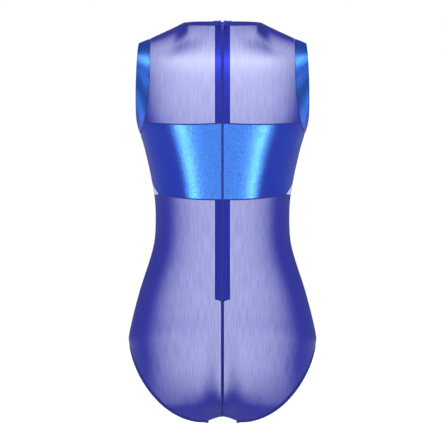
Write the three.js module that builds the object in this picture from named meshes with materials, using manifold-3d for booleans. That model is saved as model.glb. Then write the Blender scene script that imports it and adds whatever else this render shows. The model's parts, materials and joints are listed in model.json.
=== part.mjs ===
// Sleeveless gymnastics leotard with a zipped back, as separate sewn pieces.
// Millimetres. Origin at the centre of the waist, +Z up, the zipped back faces -Y,
// the wearer faces +Y, so the wearer's left is -X.
import * as THREE from 'three';
import { mergeVertices } from 'three/addons/utils/BufferGeometryUtils.js';
import Module from 'manifold-3d';

const wasm = await Module();
wasm.setup();

// ---- Driving dimensions ----
const WAIST_HALF = 110; // half width at the waist
const HIP_HALF = 154; // half width at the hips
const CHEST_HALF = 143; // half width at the armholes
const NECK_TOP_Z = 322; // height of the back neckline
const SHOULDER_DROP = 32; // fall of the shoulder from neck to armhole
const HIP_Z = -193; // height of the widest point of the hips
const SIDE_LEG_Z = -208; // where the leg opening meets the side seam
const CROTCH_Z = -324; // lowest point of the centre line
const NECK_HALF = 66; // half width of the neck opening
const NECK_BACK = 72; // how far behind the side line the back neck lies
const NECK_FRONT = 64; // how far in front of it the front neck lies
const FRONT_NECK_DROP = 62; // how much lower the front neckline is
const WAIST_BACK = 92; // depth of the back at the waist
const ZIP_LEAN = 0.0613; // the straight zip leans forward by this share of its height
const ROUNDNESS = 2.4; // 2 is an ellipse, more is squarer
const SHOULDER_IN = 8; // the shoulder's end lies this far inside the armholes' width
const SEAT_LOW_Z = -250; // the seat is fullest from here up to the hips
const SEAT_TOP_Z = -155; // where the seat starts to swell
const BELLY_LOW_Z = -240;
const BELLY_Z = -150; // fullest height of the belly
const BELLY_TOP_Z = -70;
const UNDER_BUST_Z = 50;
const BUST_Z = 110; // the bust is fullest from here to the band's top edge
const BUST_TOP_Z = 205;
const FABRIC = 1; // wall of a fabric solid
const SEAM_GAP = 0.35; // clearance between neighbouring pieces
const BAND_TOP_Z = 155; // metallic band, top edge
const BAND_BOTTOM_Z = 31; // metallic band, bottom edge at the centre
const BAND_CORNER_RISE = 9; // how much its bottom edge climbs to the corner
const BAND_END_RISE = 36; // how much the slanted end climbs to the side seam
const ZIP_LENGTH = 457; // an 18 inch zip
const TAPE_WIDTH = 12.5; // one zip tape
const TAPE_WALL = 0.5;
const ZIP_EDGE = 0.8; // the fabric stops this far from the zip's centre line
const COIL_WIDTH = 1.9; // one row of teeth
const COIL_DEPTH = 1.8;
const FOLD_TOP = 40; // the flap's width at the neck
const ARM_TOP_IN = 119; // shoulder point of the armhole binding's inner edge
const ARM_BOTTOM_Z = 140; // lowest point of the armhole binding
const ARM_EDGE_HALF = 38; // half depth of the armhole opening
const BINDING = 21; // width of the armhole binding
const NECK_BINDING_HEIGHT = 6;
const HEM_WIDTH = 5; // leg hem
const HEM_WALL = 1.8;
const ELASTIC_WALL = 0.8;
const SEAM_WIDTH = 5; // overlocked seam allowance
const SEAM_WALL = 0.7;
const CROTCH_HALF = 28; // half width between the leg openings
const EDGE_DROP = 9; // how much lower the gusset's edges are than its middle
const SLIDER = { width: 7.6, length: 12, wall: 0.9 };
const PIN_R = 0.5; // the puller's pin
const PULLER = { width: 4.4, length: 14, wall: 1 };
const CROWN_R = 1.9;

const ZIP_TOP_Z = NECK_TOP_Z + 3;
const LEAN = Math.atan(ZIP_LEAN);
const ZIP_BOTTOM_Z = ZIP_TOP_Z - ZIP_LENGTH * Math.cos(LEAN);
const TAPE_LIFT = FABRIC + 0.35; // the tape lies this far inside the fabric's outer face
const COIL_LIFT = TAPE_LIFT + TAPE_WALL + 0.3;

// ---- Small helpers ----
const clamp = (v, low, high) => Math.min(high, Math.max(low, v));
const lerp = (a, b, w) => a + (b - a) * w;
const smooth = (a, b, v) => {
  const w = clamp((v - a) / (b - a), 0, 1);
  return w * w * (3 - 2 * w);
};

/** Smooth curve through [height, value] points, rising in height. */
function profile(points) {
  const slopes = points.map(([z, v], i) => {
    const [z0, v0] = points[Math.max(0, i - 1)];
    const [z1, v1] = points[Math.min(points.length - 1, i + 1)];
    return (v1 - v0) / (z1 - z0);
  });
  return (z) => {
    const zc = clamp(z, points[0][0], points.at(-1)[0]);
    const i = clamp(points.findIndex(([h]) => h >= zc) - 1, 0, points.length - 2);
    const [z0, v0] = points[i];
    const [z1, v1] = points[i + 1];
    const span = z1 - z0;
    const w = (zc - z0) / span;
    const w2 = w * w;
    const w3 = w2 * w;
    return (2 * w3 - 3 * w2 + 1) * v0 + (w3 - 2 * w2 + w) * span * slopes[i]
      + (3 * w2 - 2 * w3) * v1 + (w3 - w2) * span * slopes[i + 1];
  };
}

// ---- The wearer's shape: tables of [height, half width or depth] ----
const halfWidth = profile([
  [CROTCH_Z - 20, HIP_HALF * 0.95],
  [HIP_Z - 20, HIP_HALF * 0.988],
  [HIP_Z, HIP_HALF],
  [HIP_Z * 0.64, lerp(WAIST_HALF, HIP_HALF, 0.63)],
  [HIP_Z * 0.235, lerp(WAIST_HALF, HIP_HALF, 0.085)],
  [0, WAIST_HALF],
  [BAND_TOP_Z * 0.29, lerp(WAIST_HALF, CHEST_HALF, 0.09)],
  [BAND_TOP_Z * 0.735, lerp(WAIST_HALF, CHEST_HALF, 0.53)],
  [BAND_TOP_Z, lerp(WAIST_HALF, CHEST_HALF, 0.9)],
  [BAND_TOP_Z + 25, CHEST_HALF],
  [NECK_TOP_Z + 20, CHEST_HALF],
]);
/** Depth of the straight line that the zip lies on. */
const zipDepth = (z) => WAIST_BACK - ZIP_LEAN * z;
const seatCleft = profile([
  [CROTCH_Z - 14, 8],
  [CROTCH_Z, 26],
  [CROTCH_Z + 24, 66],
  [SEAT_LOW_Z, 98],
  [HIP_Z, 109],
  [SEAT_TOP_Z, 104],
  [ZIP_BOTTOM_Z, zipDepth(ZIP_BOTTOM_Z)],
]);
const seatCheek = profile([
  [CROTCH_Z - 14, 40],
  [CROTCH_Z, 66],
  [CROTCH_Z + 24, 92],
  [SEAT_LOW_Z, 113],
  [HIP_Z, 117],
  [SEAT_TOP_Z, 108],
  [ZIP_BOTTOM_Z, zipDepth(ZIP_BOTTOM_Z)],
]);
const frontDepth = profile([
  [CROTCH_Z - 14, 12],
  [CROTCH_Z, 30],
  [CROTCH_Z + 30, 56],
  [BELLY_LOW_Z, 74],
  [BELLY_Z, 83],
  [BELLY_TOP_Z, 80],
  [0, 72],
  [UNDER_BUST_Z, 82],
  [BUST_Z, 108],
  [BAND_TOP_Z, 110],
  [BUST_TOP_Z, 96],
  [NECK_TOP_Z - FRONT_NECK_DROP, 80],
  [NECK_TOP_Z, 66],
]);
const CLEFT_WIDTH = 24; // how far the hollow between the buttocks reaches each way

/** Fullest depth of the back at x, before the sides curve in. */
function backFullness(x, z) {
  if (z >= ZIP_BOTTOM_Z) return zipDepth(z);
  return lerp(seatCheek(z), seatCleft(z), Math.exp(-((x / CLEFT_WIDTH) ** 2)));
}

const SHOULDER_RUN = CHEST_HALF - SHOULDER_IN - NECK_HALF;
const shoulderZ = (x) => NECK_TOP_Z - SHOULDER_DROP * clamp((x - NECK_HALF) / SHOULDER_RUN, 0, 1);
const round = (share, power) => Math.max(0, 1 - clamp(share, 0, 1) ** power) ** (1 / power);
const NECK_ROUND = 2.3; // shape of the neck opening, as ROUNDNESS
const CLOSE_FROM = 120; // the shoulder closes over this height
const CLOSE_START = 2.2; // how late it starts to close
const CLOSE_END = 0.62; // how sharply it rounds over at the top

/** How far the shoulders bring the surface in at (x, z), for a surface that would be `full` deep there. */
function shoulderClose(x, z, full, neckDepth, topZ) {
  const end = SEAM_GAP / 2 + neckDepth * round(x / NECK_HALF, NECK_ROUND);
  const share = clamp((z - (topZ - CLOSE_FROM)) / CLOSE_FROM, 0, 1);
  return (full(topZ) - end) * (1 - (1 - share ** CLOSE_START) ** CLOSE_END);
}

/** The two faces of the garment: depth from the side line at (x, z), x >= 0. */
const FACES = {
  back: (x, z) => {
    const section = (h) => backFullness(x, h) * round(x / halfWidth(h), ROUNDNESS);
    return section(z) - shoulderClose(x, z, section, NECK_BACK, shoulderZ(x));
  },
  front: (x, z) => {
    const section = (h) => frontDepth(h) * round(x / halfWidth(h), ROUNDNESS);
    const topZ = frontTopZ(x);
    return section(z) - shoulderClose(x, z, section, NECK_FRONT, topZ);
  },
};
/** The front's top edge: the neckline dips, then joins the shoulder. */
function frontTopZ(x) {
  return shoulderZ(x) - FRONT_NECK_DROP * round(x / NECK_HALF, 2);
}
const SIGN = { back: -1, front: 1 };

/** A point of the right half of the surface. */
function onFace(face, x, z) {
  return new THREE.Vector3(x, SIGN[face] * FACES[face](x, z), z);
}
/** The same by its share of the quarter turn from the centre line to the side. */
function atTurn(face, turn, z) {
  return onFace(face, turnX(turn, z), z);
}
const turnX = (turn, z) => halfWidth(z) * Math.sin((clamp(turn, 0, 1) * Math.PI) / 2) ** (2 / ROUNDNESS);
const turnOf = (x, z) => (Math.asin(clamp(x / halfWidth(z), 0, 1) ** (ROUNDNESS / 2)) * 2) / Math.PI;

// ---- Shells and bands ----
const MIRROR = new THREE.Vector3(-1, 1, 1);

/** Closed triangles as a geometry; flips them for the left side. */
function solid(vertices, triangles, left = false) {
  const geometry = new THREE.BufferGeometry();
  const placed = vertices.map((v) => (left ? v.clone().multiply(MIRROR) : v));
  geometry.setAttribute('position', new THREE.Float32BufferAttribute(placed.flatMap((v) => v.toArray()), 3));
  geometry.setIndex(triangles.flatMap(([a, b, c]) => (left ? [a, c, b] : [a, b, c])));
  return geometry;
}

/** Closed shell over a patch: point(s, v) is its outer face, s and v from 0 to 1, outward by turning s to v. */
function shell(point, { across, down, wall = FABRIC, lift = 0, left = false, spread = (s) => s }) {
  const step = 1e-3;
  const outer = [];
  const inner = [];
  for (let j = 0; j <= down; j += 1) {
    for (let i = 0; i <= across; i += 1) {
      const s = spread(i / across);
      const v = j / down;
      const ds = point(Math.min(1, s + step), v).sub(point(Math.max(0, s - step), v));
      const dv = point(s, Math.min(1, v + step)).sub(point(s, Math.max(0, v - step)));
      const normal = ds.cross(dv).normalize();
      const p = point(s, v);
      outer.push(p.clone().addScaledVector(normal, -lift));
      inner.push(p.clone().addScaledVector(normal, -lift - wall));
    }
  }
  const row = across + 1;
  const count = outer.length;
  const triangles = [];
  const quad = (a, b, c, d) => triangles.push([a, b, c], [a, c, d]);
  for (let j = 0; j < down; j += 1) {
    for (let i = 0; i < across; i += 1) {
      const a = j * row + i;
      quad(a, a + 1, a + row + 1, a + row);
      quad(count + a, count + a + row, count + a + row + 1, count + a + 1);
    }
  }
  const rim = []; // the outer face's border, in order round it
  for (let i = 0; i < across; i += 1) rim.push(i);
  for (let j = 0; j < down; j += 1) rim.push(j * row + across);
  for (let i = across; i > 0; i -= 1) rim.push(down * row + i);
  for (let j = down; j > 0; j -= 1) rim.push(j * row);
  rim.forEach((a, k) => {
    const b = rim[(k + 1) % rim.length];
    quad(a, count + a, count + b, b);
  });
  return solid([...outer, ...inner], triangles, left);
}

/** Closed ring or strip: each section is the same number of corners, in order round it. */
function loft(sections, { closed = false, left = false } = {}) {
  const triangles = [];
  const n = sections.length;
  const corners = sections[0].length;
  const quad = (a, b, c, d) => triangles.push([a, b, c], [a, c, d]);
  for (let k = 0; k < (closed ? n : n - 1); k += 1) {
    const here = k * corners;
    const next = ((k + 1) % n) * corners;
    for (let c = 0; c < corners; c += 1) {
      const d = (c + 1) % corners;
      quad(here + c, here + d, next + d, next + c);
    }
  }
  if (!closed) {
    const end = (n - 1) * corners;
    for (let c = 1; c < corners - 1; c += 1) {
      triangles.push([0, c + 1, c], [end, end + c, end + c + 1]);
    }
  }
  return outward(solid(sections.flat(), triangles, left));
}

/** Turns a closed geometry the right way out. */
function outward(geometry) {
  const p = geometry.getAttribute('position');
  const index = geometry.index.array;
  const [a, b, c] = [new THREE.Vector3(), new THREE.Vector3(), new THREE.Vector3()];
  let volume = 0;
  for (let i = 0; i < index.length; i += 3) {
    a.fromBufferAttribute(p, index[i]);
    b.fromBufferAttribute(p, index[i + 1]);
    c.fromBufferAttribute(p, index[i + 2]);
    volume += a.dot(b.cross(c));
  }
  if (volume < 0) {
    for (let i = 0; i < index.length; i += 3) [index[i + 1], index[i + 2]] = [index[i + 2], index[i + 1]];
  }
  return geometry;
}

/**
 * A ribbon between two edges: edge(t, w) is its outer face, w from 0 to 1 across it.
 * `lift` sets the outer face below the surface, `wall` is its thickness.
 */
function ribbon(edge, { steps, across = 1, lift = 0, wall = FABRIC, closed = false, left = false, out }) {
  const sections = [];
  for (let k = 0; k < (closed ? steps : steps + 1); k += 1) {
    const t = k / steps;
    const outer = [];
    const inner = [];
    for (let i = 0; i <= across; i += 1) {
      const p = edge(t, i / across);
      const n = out(t, i / across);
      outer.push(p.clone().addScaledVector(n, -lift));
      inner.push(p.clone().addScaledVector(n, -lift - wall));
    }
    sections.push([...outer, ...inner.reverse()]);
  }
  return loft(sections, { closed, left });
}

/** Outward normal of a ribbon by differences, turned towards `guide(p)`. */
function normalOf(edge, guide, closed = false) {
  const step = 1e-3;
  const at = (t) => (closed ? (t + 1) % 1 : clamp(t, 0, 1));
  return (t, w) => {
    const along = edge(at(t + step), w).sub(edge(at(t - step), w));
    const across = edge(t, Math.min(1, w + 0.05)).sub(edge(t, Math.max(0, w - 0.05)));
    const n = along.cross(across).normalize();
    return n.dot(guide(edge(t, w))) < 0 ? n.negate() : n;
  };
}

// ---- Solids by boolean ----
function toSolid(geometry) {
  const plain = geometry.clone();
  plain.deleteAttribute('normal');
  plain.deleteAttribute('uv');
  const merged = mergeVertices(plain, 1e-4);
  return new wasm.Manifold(new wasm.Mesh({
    numProp: 3,
    vertProperties: new Float32Array(merged.getAttribute('position').array),
    triVerts: new Uint32Array(merged.index.array),
  }));
}
function fromSolid(manifold) {
  const mesh = manifold.getMesh();
  const geometry = new THREE.BufferGeometry();
  geometry.setAttribute('position', new THREE.BufferAttribute(new Float32Array(mesh.vertProperties), 3));
  geometry.setIndex(new THREE.BufferAttribute(new Uint32Array(mesh.triVerts), 1));
  return geometry;
}
/** A box by its lowest and highest corners. */
function box(low, high) {
  const size = high.map((h, i) => h - low[i]);
  const middle = high.map((h, i) => (h + low[i]) / 2);
  return new THREE.BoxGeometry(...size).translate(...middle);
}

// ---- Materials ----
const finish = (color, roughness, metalness = 0) => new THREE.MeshStandardMaterial({ color, roughness, metalness });
const MESH = finish('#7f86cf', 0.8);
const FOIL = finish('#2f63d8', 0.25, 0.6);
const TAPE = finish('#3b40bf', 0.7);
const NYLON = finish('#20279a', 0.5);
const HEM = finish('#2a2a86', 0.8);
const ENAMEL = finish('#2a33a6', 0.35, 0.3);

const leotard = new THREE.Group();
function add(name, geometry, material) {
  const mesh = new THREE.Mesh(geometry, material);
  mesh.name = name;
  leotard.add(mesh);
  return mesh;
}
const SIDES = [['left', true], ['right', false]];
const addPair = (name, make, material) => SIDES.forEach(([side, left]) => add(`${name}_${side}`, make(left), material));

// ---- Lines that the pieces share ----
const X_AXIS = new THREE.Vector3(1, 0, 0);
const Y_AXIS = new THREE.Vector3(0, 1, 0);
const TOP_FLARE = 2.2; // the fabric opens a little beside the slider's crown
const LOWER_ROWS = 22;
const FLAP_ROW = 8; // the flaps are too narrow to be solids below this row of the lower panel
const LOWER_TOP_Z = BAND_BOTTOM_Z - SEAM_GAP / 2;
const FLAP_BOTTOM_Z = lerp(LOWER_TOP_Z, CROTCH_Z, FLAP_ROW / LOWER_ROWS);
const zipEdgeX = (z) => ZIP_EDGE + TOP_FLARE * smooth(NECK_TOP_Z - 16, NECK_TOP_Z, z);
const foldX = (z) => (FOLD_TOP * (z - ZIP_BOTTOM_Z)) / (NECK_TOP_Z - ZIP_BOTTOM_Z);
/** Inner edge of an outer panel: the fold line where there is a flap, the centre below it. */
const outerEdgeX = (z) => (z > FLAP_BOTTOM_Z - 0.5 ? foldX(z) + SEAM_GAP / 2 : ZIP_EDGE);

/** Share of the quarter turn of a point that lies on the surface. */
function turnAt(face, p) {
  const full = face === 'back' ? backFullness(p.x, p.z) : frontDepth(p.z);
  const a = (clamp(p.x / halfWidth(p.z), 0, 2)) ** (ROUNDNESS / 2);
  const b = Math.max(0, (p.y * SIGN[face]) / full) ** (ROUNDNESS / 2);
  return (Math.atan2(a, b) * 2) / Math.PI;
}
const SIDE_TURN = 1 - 0.0004; // leaves half a seam's gap at the side

// The armhole binding's inner edge, from the shoulder to under the arm.
const ARM_TOP_Z = shoulderZ(ARM_TOP_IN);
const ARM_BOTTOM_X = halfWidth(ARM_BOTTOM_Z);
const ARM_TURN = 4; // the edge runs nearly straight, then turns out under the arm
function armInnerX(z) {
  const share = clamp((ARM_TOP_Z - z) / (ARM_TOP_Z - ARM_BOTTOM_Z), 0, 1);
  return lerp(ARM_TOP_IN, ARM_BOTTOM_X, share ** ARM_TURN);
}

// The metallic band: its edges are nearly level, and it meets the armhole binding near the side.
const ARM_CLEARANCE = 1.4; // the band's end keeps this clear of the binding's stiff curve
const BAND_DIP = 3; // its top edge is this much lower half-way to the armhole
const BAND_CURVE = 2.5; // its lower edge climbs late
const BAND_ARM_Z = BAND_TOP_Z + BAND_DIP;
const BAND_ARM_X = armInnerX(BAND_ARM_Z);
const BAND_END_TURN = turnOf(BAND_ARM_X, BAND_ARM_Z);
const BAND_CORNER_X = turnX(BAND_END_TURN, BAND_BOTTOM_Z + BAND_CORNER_RISE);
const bandTopZ = (x) => lerp(BAND_TOP_Z + 1, BAND_ARM_Z, clamp(x / BAND_ARM_X, 0, 1))
  - BAND_DIP * Math.sin(clamp(x / BAND_ARM_X, 0, 1) * Math.PI);
const bandBottomZ = (x) => BAND_BOTTOM_Z + BAND_CORNER_RISE * clamp(x / BAND_CORNER_X, 0, 1) ** BAND_CURVE;
/** The part of the band past its corner, 0 at the corner and 1 at the side seam. */
const endShare = (turn) => clamp((turn - BAND_END_TURN) / (1 - BAND_END_TURN), 0, 1);
const bandLowerZ = (turn, rise) => {
  const x = turnX(turn, BAND_BOTTOM_Z + BAND_CORNER_RISE);
  return bandBottomZ(x) + (rise - BAND_CORNER_RISE) * endShare(turn);
};
/** Height at which the armhole binding's inner edge lies at one share of the turn. */
function armInnerZ(turn) {
  let [low, high] = [ARM_BOTTOM_Z, BAND_ARM_Z];
  for (let i = 0; i < 30; i += 1) {
    const middle = (low + high) / 2;
    if (turnOf(armInnerX(middle), middle) > turn) low = middle;
    else high = middle;
  }
  return low;
}
const bandUpperZ = (turn) => (turn <= BAND_END_TURN ? bandTopZ(turnX(turn, BAND_TOP_Z)) : armInnerZ(turn));

// The leg opening: its edge on each face, from the crotch (0) to the side seam (1).
const LEG_POWER = { back: 1.4, front: 6 }; // the front is cut higher
const LEG_LOW_Z = CROTCH_Z - EDGE_DROP;
function legEdge(face, share) {
  const b = (clamp(share, 0, 1) * Math.PI) / 2;
  const reach = halfWidth(SIDE_LEG_Z) - CROTCH_HALF;
  const z = LEG_LOW_Z + (SIDE_LEG_Z - LEG_LOW_Z) * (1 - Math.cos(b) ** LEG_POWER[face]);
  const x = Math.min(CROTCH_HALF + reach * Math.sin(b), halfWidth(z));
  return onFace(face, x, z);
}
const GUSSET_SAG = 2;
const gussetSag = (v) => GUSSET_SAG * Math.sin(v * Math.PI);
/** The whole leg opening: down the back from the side, under the gusset's edge, up the front. */
const LEG_COLUMNS = 12; // of each face's columns, those that end on the leg hem
const UNDER_STEPS = 6;
const LEG_STEPS = 2 * LEG_COLUMNS + UNDER_STEPS;
const LEG_BACK = LEG_COLUMNS / LEG_STEPS; // shares of the loop on the back, then on the gusset
const LEG_UNDER = UNDER_STEPS / LEG_STEPS;
const LEG_ENDS = [legEdge('back', 0), legEdge('front', 0)];
function legLoop(t) {
  if (t <= LEG_BACK) return legEdge('back', 1 - t / LEG_BACK);
  if (t >= LEG_BACK + LEG_UNDER) return legEdge('front', (t - LEG_BACK - LEG_UNDER) / (1 - LEG_BACK - LEG_UNDER));
  const v = (t - LEG_BACK) / LEG_UNDER;
  const p = LEG_ENDS[0].clone().lerp(LEG_ENDS[1], v);
  p.z -= gussetSag(v);
  return p;
}
/** Outward normal of a face at a point on it. */
function faceNormal(face, p) {
  const step = 1e-3;
  const turn = clamp(turnAt(face, p), 2 * step, 1 - 2 * step);
  const dTurn = atTurn(face, turn + step, p.z).sub(atTurn(face, turn - step, p.z));
  const dz = atTurn(face, turn, p.z + 0.5).sub(atTurn(face, turn, p.z - 0.5));
  const n = dTurn.cross(dz).normalize();
  return n.y * SIGN[face] < 0 ? n.negate() : n;
}
const DOWN = new THREE.Vector3(0, 0, -1);
/** Outward normal and the direction into the fabric, at a place on the leg opening. */
function legFrame(t) {
  const step = 0.008;
  const along = legLoop((t + step) % 1).sub(legLoop((t - step + 1) % 1)).normalize();
  const p = legLoop(t);
  const face = t < LEG_BACK + LEG_UNDER / 2 ? 'back' : 'front';
  const side = smooth(0.03, 0, Math.min(t, 1 - t)); // at the side seam the two faces meet
  const out = faceNormal(face, p).lerp(X_AXIS, side);
  const under = smooth(0.01, -0.06, Math.abs(t - LEG_BACK - LEG_UNDER / 2) - LEG_UNDER / 2);
  out.lerp(DOWN, under);
  out.addScaledVector(along, -out.dot(along)).normalize();
  const into = along.clone().cross(out).normalize();
  if (into.dot(new THREE.Vector3(-p.x, 0, BELLY_Z - p.z)) < 0) into.negate();
  return { p, out, into };
}
/** A point of the leg opening, moved into the fabric. */
function legInset(t, inset) {
  const { p, into } = legFrame(t);
  return p.addScaledVector(into, inset);
}

// ---- Panels ----
const NECK_SEAM = NECK_BINDING_HEIGHT + 2 * SEAM_GAP; // from the neck's edge to the yoke
const NECK_EASE = 8; // the neckline leaves the shoulder late
/** Height of a line round the neck, `grow` outside its edge, that ends on the shoulder. */
function neckLineZ(x, grow, drop) {
  const reach = NECK_HALF + grow;
  const side = clamp(x / reach, 0, 1);
  const toShoulder = (NECK_TOP_Z - shoulderZ(reach)) * side ** NECK_EASE;
  return NECK_TOP_Z - (drop + grow) * round(side, 2) - toShoulder;
}
/** Top edge of a yoke: below the neck binding, then along the shoulder. */
const yokeTopZ = (drop) => (x) => (
  x < NECK_HALF + NECK_SEAM ? neckLineZ(x, NECK_SEAM, drop) : shoulderZ(x)
);
/** A yoke column runs from the band's top edge to the neck or the shoulder. */
function yokePoint(face, leftX, topZ) {
  return (s, v) => {
    const z0 = bandTopZ(lerp(leftX(BAND_ARM_Z), BAND_ARM_X, s)) + SEAM_GAP / 2;
    const z = lerp(z0, topZ(lerp(leftX(NECK_TOP_Z), ARM_TOP_IN, s)), v);
    return onFace(face, lerp(leftX(z), armInnerX(z) - SEAM_GAP, s), z);
  };
}
/** A band column runs from the lower edge to the upper edge at one share of the turn. */
function bandPoint(face, leftX, endRise) {
  return (s, v) => {
    const t0 = turnOf(leftX(BAND_TOP_Z / 2), BAND_TOP_Z / 2);
    const turn = lerp(t0, 1, s);
    const z = lerp(
      bandLowerZ(turn, endRise) + SEAM_GAP / 2,
      bandUpperZ(turn) - SEAM_GAP / 2 - ARM_CLEARANCE * Math.min(1, 4 * endShare(turn)),
      v,
    );
    return atTurn(face, Math.min(lerp(turnOf(leftX(z), z), 1, s), SIDE_TURN), z);
  };
}
/** Spreads a shell's columns so that one of them falls on each corner of its outline. */
function columns(corners) {
  return (share) => {
    const i = clamp(corners.findIndex(([at]) => at >= share) - 1, 0, corners.length - 2);
    const [a, va] = corners[i];
    const [b, vb] = corners[i + 1];
    return lerp(va, vb, (share - a) / (b - a));
  };
}
/** Both halves of a piece that has no centre seam. */
const bothSides = (point) => (s, v) => {
  const q = 2 * s - 1;
  const p = point(Math.abs(q), v);
  p.x *= Math.sign(q) || 1;
  return p;
};
/** A column of a lower panel runs from the band to the crotch seam or the leg hem. */
const CROTCH_COLUMNS = 3; // of them, those that end on the crotch seam
const CROTCH_CURVE = 1.5; // how the crotch seam falls to its ends
const SPREAD_LATE = 2.2; // a column keeps its share of the width until low down
const LOWER_COLUMNS = CROTCH_COLUMNS + LEG_COLUMNS;
const CROTCH_SHARE = CROTCH_COLUMNS / LOWER_COLUMNS;
function lowerPoint(face, leftX) {
  const place = (p) => ({ turn: turnAt(face, p), z: p.z });
  const legAt = (q) => {
    const t = face === 'back' ? LEG_BACK * (1 - q) : 1 - (1 - LEG_BACK - LEG_UNDER) * (1 - q);
    return legInset(clamp(t, 0.0005, 0.9995), HEM_WIDTH + 2 * SEAM_GAP);
  };
  const corner = legAt(0);
  const bottom = (s) => {
    if (s >= CROTCH_SHARE) return place(legAt((s - CROTCH_SHARE) / (1 - CROTCH_SHARE)));
    const q = s / CROTCH_SHARE;
    const x = lerp(leftX(CROTCH_Z), corner.x, q);
    return place(onFace(face, x, lerp(CROTCH_Z, corner.z, q ** CROTCH_CURVE)));
  };
  return (s, v) => {
    const end = bottom(s);
    const top0 = turnOf(leftX(LOWER_TOP_Z), LOWER_TOP_Z);
    const z0 = bandLowerZ(lerp(top0, 1, s), BAND_CORNER_RISE) - SEAM_GAP / 2;
    const z = lerp(z0, end.z, v);
    const start = turnOf(leftX(z), z);
    const endStart = turnOf(leftX(end.z), end.z);
    const share = lerp(s, clamp((end.turn - endStart) / (1 - endStart), 0, 1), v ** SPREAD_LATE);
    return atTurn(face, Math.min(lerp(start, 1, share), SIDE_TURN), z);
  };
}
/** A back flap runs from the zip to the fold line, between two heights. */
function flap(bottomZ, topZ, down) {
  return (left) => outward(shell((s, v) => {
    const z = lerp(bottomZ(0), topZ(0), v);
    return onFace('back', lerp(zipEdgeX(z), foldX(z) - SEAM_GAP / 2, s), z);
  }, { across: 3, down, left }));
}
const level = (z) => () => z;
const panel = (point, options) => (left) => outward(shell(point, { ...options, left }));

const BAND_COLUMNS = 11;
const BAND_CORNER_COLUMN = 8;
const bandColumns = (leftX) => {
  const t0 = turnOf(leftX(BAND_TOP_Z / 2), BAND_TOP_Z / 2);
  const corner = (BAND_END_TURN - t0) / (1 - t0);
  return columns([[0, 0], [BAND_CORNER_COLUMN / BAND_COLUMNS, corner], [1, 1]]);
};
const YOKE_COLUMNS = 12;
const NECK_COLUMNS = 8; // of them, those that end on the neck binding, evenly round it
const neckColumns = (leftX) => (share) => {
  const x0 = leftX(NECK_TOP_Z);
  const neck = NECK_HALF + NECK_SEAM;
  const corner = NECK_COLUMNS / YOKE_COLUMNS;
  if (share >= corner) {
    return (lerp(neck, ARM_TOP_IN, (share - corner) / (1 - corner)) - x0) / (ARM_TOP_IN - x0);
  }
  const angle = lerp(Math.asin(x0 / neck), Math.PI / 2, share / corner);
  return (neck * Math.sin(angle) - x0) / (ARM_TOP_IN - x0);
};
const centre = level(0);

addPair('back_yoke', panel(
  yokePoint('back', outerEdgeX, yokeTopZ(0)),
  { across: YOKE_COLUMNS, down: 9, spread: neckColumns(outerEdgeX) },
), MESH);
addPair('back_yoke_flap', flap(
  level(bandTopZ(0) + SEAM_GAP / 2),
  level(NECK_TOP_Z - NECK_SEAM),
  9,
), MESH);
addPair('back_band', panel(
  bandPoint('back', outerEdgeX, BAND_END_RISE),
  { across: BAND_COLUMNS, down: 5, spread: bandColumns(outerEdgeX) },
), FOIL);
addPair('back_band_flap', flap(
  level(bandBottomZ(0) + SEAM_GAP / 2),
  level(bandTopZ(0) - SEAM_GAP / 2),
  5,
), FOIL);
addPair('lower_back', panel(
  lowerPoint('back', outerEdgeX),
  { across: LOWER_COLUMNS, down: LOWER_ROWS },
), MESH);
addPair('lower_back_flap', flap(
  level(FLAP_BOTTOM_Z + SEAM_GAP),
  level(LOWER_TOP_Z),
  FLAP_ROW,
), MESH);
const WEDGE_TIP = 0.12; // the wedge's blunt tip, as a share of the band's slanted end
addPair('side_wedge', panel((s, v) => {
  const turn = lerp(lerp(BAND_END_TURN, 1, WEDGE_TIP), SIDE_TURN, s);
  const z = lerp(
    BAND_BOTTOM_Z + BAND_CORNER_RISE + SEAM_GAP / 2,
    bandLowerZ(turn, BAND_END_RISE) - SEAM_GAP / 2,
    v,
  );
  return atTurn('back', turn, z);
}, { across: 3, down: 2 }), MESH);
add('front_yoke', outward(shell(
  bothSides(yokePoint('front', centre, yokeTopZ(FRONT_NECK_DROP))),
  { across: 2 * YOKE_COLUMNS, down: 8, spread: bothColumns(neckColumns(centre)) },
)), MESH);
add('front_band', outward(shell(
  bothSides(bandPoint('front', centre, BAND_CORNER_RISE)),
  { across: 2 * BAND_COLUMNS, down: 5, spread: bothColumns(bandColumns(centre)) },
)), FOIL);
add('front_body', outward(shell(
  bothSides(lowerPoint('front', centre)),
  { across: 2 * LOWER_COLUMNS, down: LOWER_ROWS },
)), MESH);
/** Columns of a whole piece from those of its right half. */
function bothColumns(half) {
  return (share) => {
    const q = 2 * share - 1;
    return (1 + Math.sign(q) * half(Math.abs(q))) / 2;
  };
}

// The gusset joins the two crotch seams and hangs a little lower in its middle.
const GUSSET_HALF = legInset(LEG_BACK + LEG_UNDER / 2, HEM_WIDTH + 3 * SEAM_GAP).x;
add('crotch_gusset', outward(shell((s, v) => {
  const q = Math.abs(2 * s - 1);
  const seam = (face, t) => {
    const corner = legInset(t, HEM_WIDTH + 3 * SEAM_GAP);
    return onFace(face, corner.x * q, lerp(CROTCH_Z, corner.z, q ** CROTCH_CURVE));
  };
  const back = seam('back', LEG_BACK);
  const front = seam('front', LEG_BACK + LEG_UNDER);
  const trim = (2 * SEAM_GAP) / (front.y - back.y);
  const share = lerp(trim, 1 - trim, v);
  const p = back.lerp(front, share);
  p.x = lerp(p.x, GUSSET_HALF * q, Math.sin(share * Math.PI)) * (Math.sign(2 * s - 1) || 1);
  p.z -= gussetSag(share);
  return p;
}, { across: 6, down: 5 })), MESH);

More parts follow.
